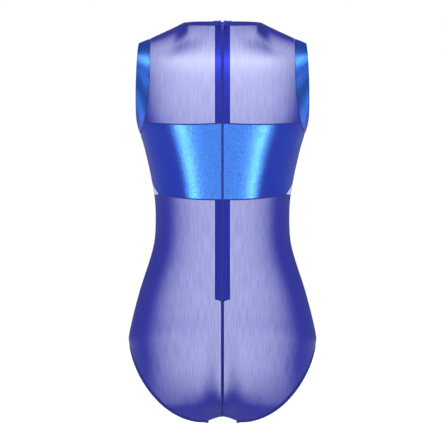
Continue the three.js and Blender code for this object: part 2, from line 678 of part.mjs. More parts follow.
// ---- Bindings, hems and seam allowances ----
// Armhole: the edge of the opening and the binding's inner edge, round from the shoulder by the back.
const ARM_EDGE_TOP_X = ARM_TOP_IN + BINDING * 0.88;
const ARM_EDGE_BOTTOM_Z = ARM_BOTTOM_Z + BINDING;
const BINDING_CROWN = 1.2; // the binding bulges a little between its edges
function armLoop(t, w) {
  const angle = t * Math.PI * 2;
  const face = angle <= Math.PI ? 'back' : 'front';
  const level01 = (1 + Math.cos(angle)) / 2;
  const z = lerp(ARM_BOTTOM_Z, ARM_TOP_Z, level01);
  const inner = onFace(face, Math.min(armInnerX(z), halfWidth(z)), z);
  const edge = new THREE.Vector3(
    lerp(halfWidth(ARM_EDGE_BOTTOM_Z), ARM_EDGE_TOP_X, level01) + 3 * Math.abs(Math.sin(angle)),
    -ARM_EDGE_HALF * Math.sin(angle),
    lerp(ARM_EDGE_BOTTOM_Z, shoulderZ(ARM_EDGE_TOP_X), level01),
  );
  const p = inner.lerp(edge, lerp(SEAM_GAP / BINDING, 1, w));
  p.x += BINDING_CROWN * Math.sin(w * Math.PI);
  return p;
}
const armMiddle = new THREE.Vector3(ARM_TOP_IN * 0.4, 0, ARM_BOTTOM_Z + 55);
addPair('armhole_binding', (left) => ribbon(armLoop, {
  steps: 40,
  across: 3,
  closed: true,
  left,
  out: normalOf(armLoop, (p) => p.clone().sub(armMiddle), true),
}), FOIL);

// Neck: a narrow ring, cut by the zip and by the two fold lines.
const NECK_LIFT = -0.6; // the binding stands a little proud of the fabric
/** Angle 0 at the centre back, a quarter turn at the shoulder, a half turn at the centre front. */
function neckRing(angle, w) {
  const back = Math.cos(angle) > -1e-6;
  const face = back ? 'back' : 'front';
  const grow = w * NECK_BINDING_HEIGHT;
  const side = Math.abs(Math.sin(angle));
  const x = (NECK_HALF + grow) * side;
  const p = onFace(face, x, neckLineZ(x, grow, back ? 0 : FRONT_NECK_DROP));
  p.x *= Math.sign(Math.sin(angle)) || 1;
  return p;
}
const neckMiddle = new THREE.Vector3(0, 0, NECK_TOP_Z - 60);
function neckPiece(angleAt, steps, left = false) {
  const edge = (t, w) => neckRing(angleAt(t, w), w);
  return ribbon(edge, {
    steps,
    left,
    lift: NECK_LIFT,
    wall: FABRIC - NECK_LIFT,
    out: normalOf(edge, (p) => p.clone().sub(neckMiddle)),
  });
}
/** The angle at which a line of the binding reaches a given x. */
const angleOf = (x, w) => Math.asin(x / (NECK_HALF + w * NECK_BINDING_HEIGHT));
const BACK_STEPS = NECK_COLUMNS; // from a fold line to the shoulder
const NECK_STEPS = 2 * (NECK_COLUMNS + BACK_STEPS);
add('neck_binding', neckPiece((t, w) => {
  const fold = angleOf(FOLD_TOP + SEAM_GAP, w);
  const shoulder = BACK_STEPS / NECK_STEPS;
  const half = t <= 0.5 ? t : 1 - t;
  const angle = half < shoulder
    ? lerp(fold, Math.PI / 2, half / shoulder)
    : lerp(Math.PI / 2, Math.PI, (half - shoulder) / (0.5 - shoulder));
  return t <= 0.5 ? angle : 2 * Math.PI - angle;
}, NECK_STEPS), HEM);
addPair('neck_binding_flap', (left) => neckPiece(
  (t, w) => lerp(angleOf(ZIP_EDGE + TOP_FLARE, w), angleOf(FOLD_TOP - 3 * SEAM_GAP, w), t),
  6,
  left,
), HEM);

// Leg openings: a hem round each, with its elastic inside.
function legRibbon(from, to, lift, wall) {
  const edge = (t, w) => legInset(t, lerp(from, to, w));
  return (left) => ribbon(edge, {
    steps: LEG_STEPS,
    lift,
    wall,
    closed: true,
    left,
    out: (t) => legFrame(t).out,
  });
}
const HEM_LIFT = (FABRIC - HEM_WALL) / 2;
addPair('leg_hem', legRibbon(0, HEM_WIDTH, HEM_LIFT, HEM_WALL), HEM);
addPair('leg_elastic', legRibbon(1.2, HEM_WIDTH - 1.2, HEM_LIFT + HEM_WALL + 3 * SEAM_GAP, ELASTIC_WALL), NYLON);

// Seam allowances lie inside the fabric.
const SEAM_LIFT = FABRIC + SEAM_GAP + 0.1;
const SHOULDER_LIFT = SEAM_LIFT + 0.5; // the yokes dip away from the shoulder line
const seamStrip = (line, steps, across, out, lift = SEAM_LIFT) => (left) => ribbon(
  (t, w) => line(t).addScaledVector(across, (w - 0.5) * SEAM_WIDTH),
  { steps, lift, wall: SEAM_WALL, left, out },
);
const centreSeam = (t) => onFace('back', 0, lerp(ZIP_BOTTOM_Z - 3, CROTCH_Z + 2, t));
const lineNormal = (line, side) => (t) => {
  const along = line(Math.min(1, t + 0.01)).sub(line(Math.max(0, t - 0.01)));
  return along.cross(side).normalize();
};
add('centre_back_seam', seamStrip(centreSeam, 20, X_AXIS, lineNormal(centreSeam, X_AXIS))(false), NYLON);
const sideLine = (t) => {
  const z = lerp(ARM_BOTTOM_Z - 4, SIDE_LEG_Z + HEM_WIDTH + 3, t);
  return new THREE.Vector3(halfWidth(z), 0, z);
};
addPair('side_seam', seamStrip(sideLine, 20, Y_AXIS, lineNormal(sideLine, Y_AXIS)), NYLON);
const shoulderLine = (t) => {
  const x = lerp(NECK_HALF + NECK_BINDING_HEIGHT + 1, ARM_TOP_IN - 1, t);
  return new THREE.Vector3(x, 0, shoulderZ(x));
};
addPair('shoulder_seam', seamStrip(shoulderLine, 4, Y_AXIS, lineNormal(shoulderLine, Y_AXIS), SHOULDER_LIFT), NYLON);

// ---- The zip ----
const tapePoint = (s, v) => {
  const z = lerp(ZIP_BOTTOM_Z, ZIP_TOP_Z, v);
  return onFace('back', lerp(zipEdgeX(z) + 0.1, TAPE_WIDTH, s), z);
};
addPair('zip_tape', panel(tapePoint, { across: 2, down: 24, wall: TAPE_WALL, lift: TAPE_LIFT }), TAPE);

// The rest is built along the zip's own straight line: z along it, y into the garment.
const zipLine = new THREE.Group();
zipLine.position.set(0, -zipDepth(0), 0);
zipLine.rotation.x = -LEAN;
leotard.add(zipLine);
const addToZip = (name, geometry, material) => zipLine.add(add(name, geometry, material));

const along = (z) => z / Math.cos(LEAN);
const TOP = along(ZIP_TOP_Z);
const BOTTOM = along(ZIP_BOTTOM_Z);
const SLIDER_TOP = TOP - 3;
const SLIDER_LOW = SLIDER_TOP - SLIDER.length;
const POST_LOW = SLIDER_LOW + 6.5; // the rows part above this
const STOP_LENGTH = 4;
const BOTTOM_STOP_TOP = BOTTOM + 2 + STOP_LENGTH;
const ROW_GAP = 0.15;
const ROW_OUT = ROW_GAP + COIL_WIDTH;
const COIL_BACK = COIL_LIFT + COIL_DEPTH;
SIDES.forEach(([side, left]) => {
  const x = (a, b) => (left ? [-b, -a] : [a, b]);
  const [c0, c1] = x(ROW_GAP, ROW_OUT);
  addToZip(`zip_coil_${side}`, box([c0, COIL_LIFT, BOTTOM_STOP_TOP + SEAM_GAP], [c1, COIL_BACK, POST_LOW - 0.5]), NYLON);
  const [s0, s1] = x(ZIP_EDGE + TOP_FLARE + 0.6, ZIP_EDGE + TOP_FLARE + 2.2);
  addToZip(`zip_top_stop_${side}`, box([s0, COIL_LIFT, SLIDER_TOP + 0.4], [s1, COIL_BACK - 0.6, TOP - 0.6]), NYLON);
});
addToZip('zip_bottom_stop', box(
  [-ROW_OUT - 0.5, COIL_LIFT, BOTTOM_STOP_TOP - STOP_LENGTH],
  [ROW_OUT + 0.5, COIL_BACK + 0.3, BOTTOM_STOP_TOP],
), ENAMEL);

// Slider: a back plate with two side flanges inside, a post between the rows, a crown outside.
const CROWN_Y = -3.2; // the pin's axis, outside the fabric
const CROWN_Z = SLIDER_TOP - 3.2;
const CROWN_HALF = 0.72; // narrower than the gap between the flaps
const POST_HALF = 0.5;
const PIN_CLEARANCE = 0.35;
function disc(radius, half, y, z) {
  const shape = new THREE.CylinderGeometry(radius, radius, 2 * half, 24);
  return shape.rotateZ(Math.PI / 2).translate(0, y, z);
}
function slider() {
  const plateY = COIL_BACK + 0.35;
  const outer = SLIDER.width / 2;
  const flange = (sign) => box(
    sign > 0 ? [outer - SLIDER.wall, COIL_LIFT, SLIDER_LOW] : [-outer, COIL_LIFT, SLIDER_LOW],
    sign > 0 ? [outer, plateY + SLIDER.wall, SLIDER_TOP] : [-outer + SLIDER.wall, plateY + SLIDER.wall, SLIDER_TOP],
  );
  return [
    toSolid(box([-outer, plateY, SLIDER_LOW], [outer, plateY + SLIDER.wall, SLIDER_TOP])),
    toSolid(flange(1)),
    toSolid(flange(-1)),
    toSolid(box([-POST_HALF, CROWN_Y + CROWN_R / 2, POST_LOW], [POST_HALF, plateY + SLIDER.wall / 2, SLIDER_TOP - 0.6])),
    toSolid(disc(CROWN_R, CROWN_HALF, CROWN_Y, CROWN_Z)),
  ].reduce((a, b) => a.add(b)).subtract(toSolid(disc(PIN_R + PIN_CLEARANCE, CROWN_HALF * 2, CROWN_Y, CROWN_Z)));
}
addToZip('zip_slider', fromSolid(slider()), ENAMEL);

// Puller: a drop-shaped plate that hangs from a pin through the crown.
function puller() {
  const half = PULLER.width / 2;
  const top = CROWN_Z + PIN_R + 0.4;
  const low = CROWN_Z - PULLER.length;
  const bulb = PULLER.width * 0.62;
  const outline = new THREE.Shape();
  outline.moveTo(-half, top);
  outline.lineTo(-half * 0.72, CROWN_Z - PULLER.length * 0.4);
  outline.bezierCurveTo(-bulb, low + bulb * 1.4, -bulb * 0.9, low, 0, low);
  outline.bezierCurveTo(bulb * 0.9, low, bulb, low + bulb * 1.4, half * 0.72, CROWN_Z - PULLER.length * 0.4);
  outline.lineTo(half, top);
  const notch = CROWN_HALF + 0.3;
  outline.lineTo(notch, top);
  outline.lineTo(notch, CROWN_Z - CROWN_R - 0.3);
  outline.lineTo(-notch, CROWN_Z - CROWN_R - 0.3);
  outline.lineTo(-notch, top);
  const slot = new THREE.Path();
  const slotTop = low + PULLER.length * 0.34;
  slot.absarc(0, slotTop, 0.6, 0, Math.PI, false);
  slot.absarc(0, low + 1.9, 0.6, Math.PI, 2 * Math.PI, false);
  outline.holes.push(slot);
  const plate = new THREE.ExtrudeGeometry(outline, { depth: PULLER.wall, bevelEnabled: false, curveSegments: 6 });
  plate.rotateX(Math.PI / 2).translate(0, CROWN_Y + PULLER.wall / 2, 0);
  return plate;
}
function pullerSolid() {
  const plate = puller();
  return toSolid(plate).add(toSolid(disc(PIN_R, PULLER.width / 2 - 0.1, CROWN_Y, CROWN_Z)));
}
addToZip('zip_puller', fromSolid(pullerSolid()), ENAMEL);

export default leotard;
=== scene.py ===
"""Sleeveless gymnastics leotard: sheer stretch mesh, a metallic foil band and a long back zip.

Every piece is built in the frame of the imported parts: metres, +Z up, the zipped back faces -Y
and the wearer's left lies at negative X. Sizes are held in millimetres.
"""

import json
import logging
import math
from collections.abc import Callable, Sequence
from dataclasses import dataclass, field
from enum import Enum
from functools import partial

import bpy
import numpy as np
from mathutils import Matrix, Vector


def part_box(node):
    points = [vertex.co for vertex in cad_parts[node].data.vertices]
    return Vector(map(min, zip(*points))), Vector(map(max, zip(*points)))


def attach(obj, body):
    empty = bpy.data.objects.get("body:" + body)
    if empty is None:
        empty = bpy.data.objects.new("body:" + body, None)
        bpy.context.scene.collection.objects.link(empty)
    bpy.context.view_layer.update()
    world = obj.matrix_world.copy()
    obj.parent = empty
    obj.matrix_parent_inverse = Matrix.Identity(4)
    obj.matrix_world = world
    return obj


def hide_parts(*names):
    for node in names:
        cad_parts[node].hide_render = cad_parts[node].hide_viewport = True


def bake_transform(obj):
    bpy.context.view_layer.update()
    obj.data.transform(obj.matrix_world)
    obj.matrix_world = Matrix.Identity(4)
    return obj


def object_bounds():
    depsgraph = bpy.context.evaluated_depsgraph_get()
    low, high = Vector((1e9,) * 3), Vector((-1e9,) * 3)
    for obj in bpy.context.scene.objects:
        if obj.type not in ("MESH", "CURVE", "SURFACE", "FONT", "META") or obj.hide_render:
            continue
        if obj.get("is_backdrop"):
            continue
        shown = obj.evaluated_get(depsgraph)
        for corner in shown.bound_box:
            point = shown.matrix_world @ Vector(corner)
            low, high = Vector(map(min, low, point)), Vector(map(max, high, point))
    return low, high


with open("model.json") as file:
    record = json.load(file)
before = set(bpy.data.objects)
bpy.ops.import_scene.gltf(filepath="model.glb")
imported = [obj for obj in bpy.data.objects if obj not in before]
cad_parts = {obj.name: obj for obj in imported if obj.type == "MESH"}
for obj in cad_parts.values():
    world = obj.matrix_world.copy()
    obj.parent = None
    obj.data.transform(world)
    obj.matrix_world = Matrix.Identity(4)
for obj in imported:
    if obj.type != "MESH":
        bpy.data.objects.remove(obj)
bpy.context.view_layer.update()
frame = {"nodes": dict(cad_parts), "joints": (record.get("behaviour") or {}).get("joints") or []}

MM = 0.001
WAVE = math.pi / 10  # a wave texture with this scale repeats once a metre
MIRROR = np.array([-1.0, 1, 1])  # to the wearer's left
Array = np.ndarray
Socket = bpy.types.NodeSocket
Edge = Callable[[Array], Array]
Span = tuple[float, float]
log = logging.getLogger("leotard")


# ---- Small helpers ----
class Face(Enum):
    """A face of the garment, by the sign of its Y."""

    BACK = -1
    FRONT = 1


class Side(Enum):
    """The wearer's side, by the sign of its X."""

    LEFT = -1
    RIGHT = 1

    @property
    def word(self) -> str:
        """The side's name as the nodes use it."""
        return self.name.lower()


def lerp(a: Array | float, b: Array | float, w: Array | float) -> Array | float:
    """Straight mix of a and b by the share w."""
    return a + (b - a) * w


def smooth(a: float, b: float, v: Array) -> Array:
    """Smooth step of v from a to b."""
    w = np.clip((v - a) / (b - a), 0, 1)
    return w * w * (3 - 2 * w)


def rounded(share: Array, power: float) -> Array:
    """Height of a superellipse at one share of its half width."""
    return np.maximum(0, 1 - np.clip(share, 0, 1) ** power) ** (1 / power)


def unit(v: Array) -> Array:
    """Rows of v at unit length."""
    return v / np.maximum(np.linalg.norm(v, axis=-1, keepdims=True), 1e-9)


def mix_points(a: Array, b: Array, w: Array) -> Array:
    """Points between a and b by the share w of each."""
    return a + (b - a) * np.asarray(w)[..., None]


class Profile:
    """Smooth curve through (height, value) points, rising in height."""

    def __init__(self, *points: tuple[float, float]) -> None:
        """Args:
        points: heights and the values there.
        """
        self.z, self.v = np.array(points, float).T
        low = np.maximum(np.arange(len(self.z)) - 1, 0)
        high = np.minimum(np.arange(len(self.z)) + 1, len(self.z) - 1)
        self.slope = (self.v[high] - self.v[low]) / (self.z[high] - self.z[low])

    def __call__(self, z: Array) -> Array:
        """Value at height z."""
        zc = np.clip(z, self.z[0], self.z[-1])
        k = np.clip(np.searchsorted(self.z, zc) - 1, 0, len(self.z) - 2)
        span = self.z[k + 1] - self.z[k]
        w = (zc - self.z[k]) / span
        rise = (w**3 - 2 * w**2 + w) * span * self.slope[k]
        fall = (w**3 - w**2) * span * self.slope[k + 1]
        ends = (2 * w**3 - 3 * w**2 + 1) * self.v[k] + (3 * w**2 - 2 * w**3) * self.v[k + 1]
        return ends + rise + fall


# ---- The worn shape ----
@dataclass
class Form:
    """The shape that the fabric is stretched over, and the lines that the pieces share, in millimetres."""

    waist_half: float = 110.0
    hip_half: float = 154.0
    chest_half: float = 143.0
    neck_top_z: float = 322.0
    shoulder_drop: float = 32.0
    shoulder_in: float = 8.0
    hip_z: float = -193.0
    side_leg_z: float = -208.0
    crotch_z: float = -324.0
    neck_half: float = 66.0
    neck_back: float = 72.0
    neck_front: float = 64.0
    front_neck_drop: float = 62.0
    waist_back: float = 92.0
    zip_lean: float = 0.0613
    roundness: float = 2.4
    neck_round: float = 2.3
    close_from: float = 120.0
    close_start: float = 2.2
    close_end: float = 0.62
    crease_reach: float = 46.0  # the corner of neck and shoulder fades out over this much to either side
    crease_from: float = 16.0  # from here out
    crease_to: float = 48.0
    cleft_width: float = 24.0
    gap: float = 0.35
    band_top: float = 155.0
    band_bottom: float = 31.0
    band_corner_rise: float = 9.0
    band_end_rise: float = 36.0
    band_dip: float = 3.0
    band_curve: float = 2.5
    band_arm_gap: float = 1.4  # clear of the armhole binding
    wedge_start: float = 0.12
    zip_length: float = 457.0
    zip_edge: float = 0.8
    top_flare: float = 2.2
    arm_top_in: float = 119.0
    arm_bottom_z: float = 140.0
    arm_edge_half: float = 38.0
    arm_turn: float = 4.0
    arm_edge_share: float = 0.88
    arm_bow: float = 3.0
    arm_crown: float = 1.2
    binding: float = 21.0
    neck_binding: float = 6.0
    neck_ease: float = 8.0
    hem: float = 5.0
    crotch_half: float = 28.0
    edge_drop: float = 9.0
    gusset_sag: float = 2.0
    leg_back: float = 0.4  # shares of the leg opening
    leg_under: float = 0.2
    leg_round_back: float = 1.4
    leg_round_front: float = 6.0
    leg_aim_z: float = -150.0  # the fabric lies towards this height
    crotch_share: float = 0.2
    crotch_curve: float = 1.5
    spread_late: float = 2.2
    seam_turn: float = 0.0004
    half_width: Profile = field(init=False)
    seat_cleft: Profile = field(init=False)
    seat_cheek: Profile = field(init=False)
    front_depth: Profile = field(init=False)

    def __post_init__(self) -> None:
        """Works out the section tables and the points where lines meet."""
        waist, hip, chest = self.waist_half, self.hip_half, self.chest_half
        self.half_width = Profile(
            (self.crotch_z - 20, hip * 0.95), (self.hip_z - 20, hip * 0.988), (self.hip_z, hip),
            (self.hip_z * 0.64, lerp(waist, hip, 0.63)), (self.hip_z * 0.235, lerp(waist, hip, 0.085)),
            (0, waist), (self.band_top * 0.29, lerp(waist, chest, 0.09)),
            (self.band_top * 0.735, lerp(waist, chest, 0.53)), (self.band_top, lerp(waist, chest, 0.9)),
            (self.band_top + 25, chest), (self.neck_top_z + 20, chest),
        )
        self.lean = math.atan(self.zip_lean)
        self.zip_top = self.neck_top_z + 3
        self.zip_bottom = self.zip_top - self.zip_length * math.cos(self.lean)
        low, apex = self.crotch_z, self.zip_depth(self.zip_bottom)
        self.seat_cleft = Profile((low - 14, 8), (low, 26), (low + 24, 66), (-250, 98), (self.hip_z, 107.5),
                                  (-155, 102.4), (self.zip_bottom, apex))
        self.seat_cheek = Profile((low - 14, 40), (low, 66), (low + 24, 92), (-250, 112.5), (self.hip_z, 113),
                                  (-155, 103.8), (self.zip_bottom, apex))
        self.seat_cleft.slope[-1] = self.seat_cheek.slope[-1] = -self.zip_lean
        self.front_depth = Profile(
            (low - 14, 12), (low, 30), (low + 30, 56), (-240, 74), (-150, 83), (-70, 80), (0, 72), (50, 82),
            (110, 108), (self.band_top, 110), (205, 96), (self.neck_top_z - self.front_neck_drop, 80),
            (self.neck_top_z, 66),
        )
        self.arm_top_z = float(self.shoulder_z(self.arm_top_in))
        self.arm_bottom_x = float(self.half_width(self.arm_bottom_z))
        self.band_arm_z = self.band_top + self.band_dip
        self.band_arm_x = float(self.arm_inner_x(self.band_arm_z))
        self.band_end_turn = float(self.turn_of(self.band_arm_x, self.band_arm_z))
        self.band_corner_x = float(self.turn_x(self.band_end_turn, self.band_bottom + self.band_corner_rise))
        self.neck_seam = self.neck_binding + 2 * self.gap
        self.leg_low_z = self.crotch_z - self.edge_drop

    # The surface
    def zip_depth(self, z: Array) -> Array:
        """Depth of the straight line that the zip lies on."""
        return self.waist_back - self.zip_lean * z

    def back_fullness(self, x: Array, z: Array) -> Array:
        """Fullest depth of the back at x, before the sides curve in."""
        seat = lerp(self.seat_cheek(z), self.seat_cleft(z), np.exp(-((x / self.cleft_width) ** 2)))
        return np.where(z >= self.zip_bottom, self.zip_depth(z), seat)

    def fullness(self, face: Face, x: Array, z: Array) -> Array:
        """Fullest depth of either face."""
        return self.back_fullness(x, z) if face is Face.BACK else self.front_depth(z)

    def shoulder_z(self, x: Array) -> Array:
        """Height of the shoulder line."""
        run = self.chest_half - self.shoulder_in - self.neck_half
        return self.neck_top_z - self.shoulder_drop * np.clip((x - self.neck_half) / run, 0, 1)

    def top_z(self, face: Face, x: Array) -> Array:
        """Height of a face's top edge: the shoulder, and the dip of the front neckline."""
        drop = self.front_neck_drop * rounded(x / self.neck_half, 2) if face is Face.FRONT else 0.0
        return self.shoulder_z(x) - drop

    def depth(self, face: Face, x: Array, z: Array) -> Array:
        """Depth of a face from the side line at (x, z), for x of 0 or more."""
        x, z = np.broadcast_arrays(np.asarray(x, float), np.asarray(z, float))
        neck = self.neck_back if face is Face.BACK else self.neck_front

        def section(h: Array) -> Array:
            """Depth of the plain section at height h."""
            return self.fullness(face, x, h) * rounded(x / self.half_width(h), self.roundness)

        def share_below(top: Array) -> Array:
            """1 at the piece's top edge, 0 where the closing starts."""
            return np.clip((z - (top - self.close_from)) / self.close_from, 0, 1)

        reach = self.crease_reach * smooth(self.crease_from, self.crease_to, x)
        reach = reach * (1 - share_below(self.top_z(face, x)) ** 3)
        steps = np.linspace(-1, 1, 41)
        weights = smooth(1, 0, np.abs(steps))
        weights /= weights.sum()
        near = [np.abs(x + reach * k) for k in steps]
        top = np.tensordot(weights, [self.top_z(face, k) for k in near], 1)
        ends = [neck * rounded(k / self.neck_half, self.neck_round) for k in near]
        end = np.tensordot(weights, ends, 1) + self.gap / 2
        share = share_below(top)
        return section(z) - (section(top) - end) * (1 - (1 - share**self.close_start) ** self.close_end)

    def on_face(self, face: Face, x: Array, z: Array) -> Array:
        """Points of the right half of the surface."""
        x, z = np.broadcast_arrays(np.asarray(x, float), np.asarray(z, float))
        return np.stack([x, face.value * self.depth(face, x, z), z], -1)

    def turn_x(self, turn: Array, z: Array) -> Array:
        """Half width at one share of the quarter turn from the centre line to the side."""
        return self.half_width(z) * np.sin(np.clip(turn, 0, 1) * math.pi / 2) ** (2 / self.roundness)

    def turn_of(self, x: Array, z: Array) -> Array:
        """Share of the quarter turn at (x, z)."""
        return np.arcsin(np.clip(x / self.half_width(z), 0, 1) ** (self.roundness / 2)) * 2 / math.pi

    def turn_at(self, face: Face, p: Array) -> Array:
        """Share of the quarter turn of points that lie on the surface."""
        a = np.clip(p[..., 0] / self.half_width(p[..., 2]), 0, 2) ** (self.roundness / 2)
        b = p[..., 1] * face.value / self.fullness(face, p[..., 0], p[..., 2])
        return np.arctan2(a, np.maximum(0, b) ** (self.roundness / 2)) * 2 / math.pi

    def at_turn(self, face: Face, turn: Array, z: Array) -> Array:
        """Points by their share of the quarter turn."""
        return self.on_face(face, self.turn_x(turn, z), z)

    # Lines that the pieces share
    def zip_edge_x(self, z: Array) -> Array:
        """The fabric's edge along the zip, opening a little at the top."""
        return self.zip_edge + self.top_flare * smooth(self.neck_top_z - 16, self.neck_top_z, z)

    def arm_inner_x(self, z: Array) -> Array:
        """Inner edge of the armhole binding."""
        share = np.clip((self.arm_top_z - z) / (self.arm_top_z - self.arm_bottom_z), 0, 1)
        return lerp(self.arm_top_in, self.arm_bottom_x, share**self.arm_turn)

    def arm_inner_z(self, turn: Array) -> Array:
        """Height at which the armhole binding's inner edge lies at one share of the turn."""
        low = np.full(np.shape(turn), self.arm_bottom_z)
        high = np.full(np.shape(turn), self.band_arm_z)
        for _ in range(30):
            middle = (low + high) / 2
            above = self.turn_of(self.arm_inner_x(middle), middle) > turn
            low, high = np.where(above, middle, low), np.where(above, high, middle)
        return low

    def band_top_z(self, x: Array) -> Array:
        """Top edge of the metallic band."""
        share = np.clip(x / self.band_arm_x, 0, 1)
        return lerp(self.band_top + 1, self.band_arm_z, share) - self.band_dip * np.sin(share * math.pi)

    def end_share(self, turn: Array) -> Array:
        """The part of the band past its corner, 1 at the side seam."""
        return np.clip((turn - self.band_end_turn) / (1 - self.band_end_turn), 0, 1)

    def band_lower_z(self, turn: Array, rise: float) -> Array:
        """Lower edge of the band, that climbs to `rise` at the side seam."""
        x = self.turn_x(turn, self.band_bottom + self.band_corner_rise)
        bottom = self.band_bottom + self.band_corner_rise * np.clip(x / self.band_corner_x, 0, 1) ** self.band_curve
        return bottom + (rise - self.band_corner_rise) * self.end_share(turn)

    def band_upper_z(self, turn: Array) -> Array:
        """Upper edge of the band: the yoke's edge, then the armhole binding's."""
        return np.where(turn <= self.band_end_turn, self.band_top_z(self.turn_x(turn, self.band_top)),
                        self.arm_inner_z(turn))

    def neck_line_z(self, x: Array, grow: Array, drop: Array) -> Array:
        """Height of a line round the neck, `grow` outside its edge, that ends on the shoulder."""
        reach = self.neck_half + grow
        side = np.clip(x / reach, 0, 1)
        to_shoulder = (self.neck_top_z - self.shoulder_z(reach)) * side**self.neck_ease
        return self.neck_top_z - (drop + grow) * rounded(side, 2) - to_shoulder

    # Pieces as surfaces over s (across) and v (up or down)
    def yoke(self, face: Face, left_x: Edge, s: Array, v: Array) -> Array:
        """A yoke half, from the band's top edge to the neck or the shoulder."""
        z0 = self.band_top_z(lerp(left_x(self.band_arm_z), self.band_arm_x, s)) + self.gap / 2
        x_top = lerp(left_x(self.neck_top_z), self.arm_top_in, s)
        drop = 0.0 if face is Face.BACK else self.front_neck_drop
        neck = self.neck_line_z(x_top, self.neck_seam, drop)
        top = np.where(x_top < self.neck_half + self.neck_seam, neck, self.shoulder_z(x_top))
        z = lerp(z0, top, v)
        return self.on_face(face, lerp(left_x(z), self.arm_inner_x(z) - self.gap, s), z)

    def band(self, face: Face, left_x: Edge, rise: float, s: Array, v: Array) -> Array:
        """A band half, from its lower edge to its upper edge."""
        middle = self.band_top / 2
        turn = lerp(self.turn_of(left_x(middle), middle), 1, s)
        top = self.band_upper_z(turn) - self.gap / 2 - self.band_arm_gap * np.minimum(1, 4 * self.end_share(turn))
        z = lerp(self.band_lower_z(turn, rise) + self.gap / 2, top, v)
        turn = lerp(self.turn_of(left_x(z), z), 1, s)
        return self.at_turn(face, np.minimum(turn, 1 - self.seam_turn), z)

    def leg_edge(self, face: Face, share: Array) -> Array:
        """Edge of the leg opening, from the crotch (0) to the side seam (1)."""
        b = np.clip(share, 0, 1) * math.pi / 2
        power = self.leg_round_back if face is Face.BACK else self.leg_round_front
        z = self.leg_low_z + (self.side_leg_z - self.leg_low_z) * (1 - np.maximum(np.cos(b), 0) ** power)
        reach = float(self.half_width(self.side_leg_z)) - self.crotch_half
        return self.on_face(face, np.minimum(self.crotch_half + reach * np.sin(b), self.half_width(z)), z)

    def leg_loop(self, t: Array) -> Array:
        """The whole leg opening: down the back, under the gusset's edge, up the front."""
        v = np.clip((t - self.leg_back) / self.leg_under, 0, 1)
        under = mix_points(self.leg_edge(Face.BACK, np.zeros(1)), self.leg_edge(Face.FRONT, np.zeros(1)), v)
        under[..., 2] -= self.gusset_sag * np.sin(v * math.pi)
        rest = 1 - self.leg_back - self.leg_under
        back = self.leg_edge(Face.BACK, 1 - t / self.leg_back)
        front = self.leg_edge(Face.FRONT, (t - self.leg_back - self.leg_under) / rest)
        picked = np.where((t <= self.leg_back)[..., None], back, under)
        return np.where((t >= self.leg_back + self.leg_under)[..., None], front, picked)

    def face_normal(self, face: Face, p: Array) -> Array:
        """Outward normals at points of a face."""
        step = 1e-3
        turn = np.clip(self.turn_at(face, p), 2 * step, 1 - 2 * step)
        z = p[..., 2]
        d_turn = self.at_turn(face, turn + step, z) - self.at_turn(face, turn - step, z)
        d_z = self.at_turn(face, turn, z + 0.5) - self.at_turn(face, turn, z - 0.5)
        n = unit(np.cross(d_turn, d_z))
        return n * np.where(n[..., 1:2] * face.value < 0, -1, 1)

    def leg_frame(self, t: Array) -> tuple[Array, Array, Array]:
        """Returns: points of the leg opening, outward normals and directions into the fabric."""
        step = 0.008
        along = unit(self.leg_loop((t + step) % 1) - self.leg_loop((t - step) % 1))
        p = self.leg_loop(t)
        on_back = (t < self.leg_back + self.leg_under / 2)[..., None]
        out = np.where(on_back, self.face_normal(Face.BACK, p), self.face_normal(Face.FRONT, p))
        out = mix_points(out, np.array([1.0, 0, 0]), smooth(0.03, 0, np.minimum(t, 1 - t)))
        middle = self.leg_back + self.leg_under / 2
        under = smooth(0.01, -0.06, np.abs(t - middle) - self.leg_under / 2)
        out = mix_points(out, np.array([0, 0, -1.0]), under)
        out = unit(out - along * np.sum(out * along, -1, keepdims=True))
        into = unit(np.cross(along, out))
        aim = np.stack([-p[..., 0], np.zeros_like(t), self.leg_aim_z - p[..., 2]], -1)
        return p, out, into * np.where(np.sum(into * aim, -1, keepdims=True) < 0, -1, 1)

    def leg_inset(self, t: Array, inset: Array) -> Array:
        """Points of the leg opening, moved into the fabric."""
        p, _, into = self.leg_frame(t)
        return p + into * np.asarray(inset)[..., None]

    def lower(self, face: Face, left_x: Edge, s: Array, v: Array) -> Array:
        """A lower half, from the band down to the crotch seam or the leg hem."""
        inset = self.hem + 2 * self.gap

        def leg_at(q: Array) -> Array:
            """Where the panel meets the leg hem, q from the crotch to the side."""
            rest = 1 - self.leg_back - self.leg_under
            t = self.leg_back * (1 - q) if face is Face.BACK else 1 - rest * (1 - q)
            return self.leg_inset(np.clip(t, 0.0005, 0.9995), inset)

        corner = leg_at(np.zeros(1))[0]
        q = np.clip(s / self.crotch_share, 0, 1)
        x = lerp(left_x(self.crotch_z), corner[0], q)
        seam = self.on_face(face, x, lerp(self.crotch_z, corner[2], q**self.crotch_curve))
        past = np.clip((s - self.crotch_share) / (1 - self.crotch_share), 0, 1)
        end = np.where((s >= self.crotch_share)[..., None], leg_at(past), seam)
        end_turn, end_z = self.turn_at(face, end), end[..., 2]
        top = self.band_bottom - self.gap / 2
        start_turn = lerp(self.turn_of(left_x(top), top), 1, s)
        z = lerp(self.band_lower_z(start_turn, self.band_corner_rise) - self.gap / 2, end_z, v)
        start = self.turn_of(left_x(z), z)
        end_start = self.turn_of(left_x(end_z), end_z)
        share = lerp(s, np.clip((end_turn - end_start) / (1 - end_start), 0, 1), v**self.spread_late)
        return self.at_turn(face, np.minimum(lerp(start, 1, share), 1 - self.seam_turn), z)

    def wedge(self, s: Array, v: Array) -> Array:
        """The small wedge between the band's slanted end and the side seam."""
        turn = lerp(lerp(self.band_end_turn, 1, self.wedge_start), 1 - self.seam_turn, s)
        low = self.band_bottom + self.band_corner_rise + self.gap / 2
        return self.at_turn(Face.BACK, turn, lerp(low, self.band_lower_z(turn, self.band_end_rise) - self.gap / 2, v))

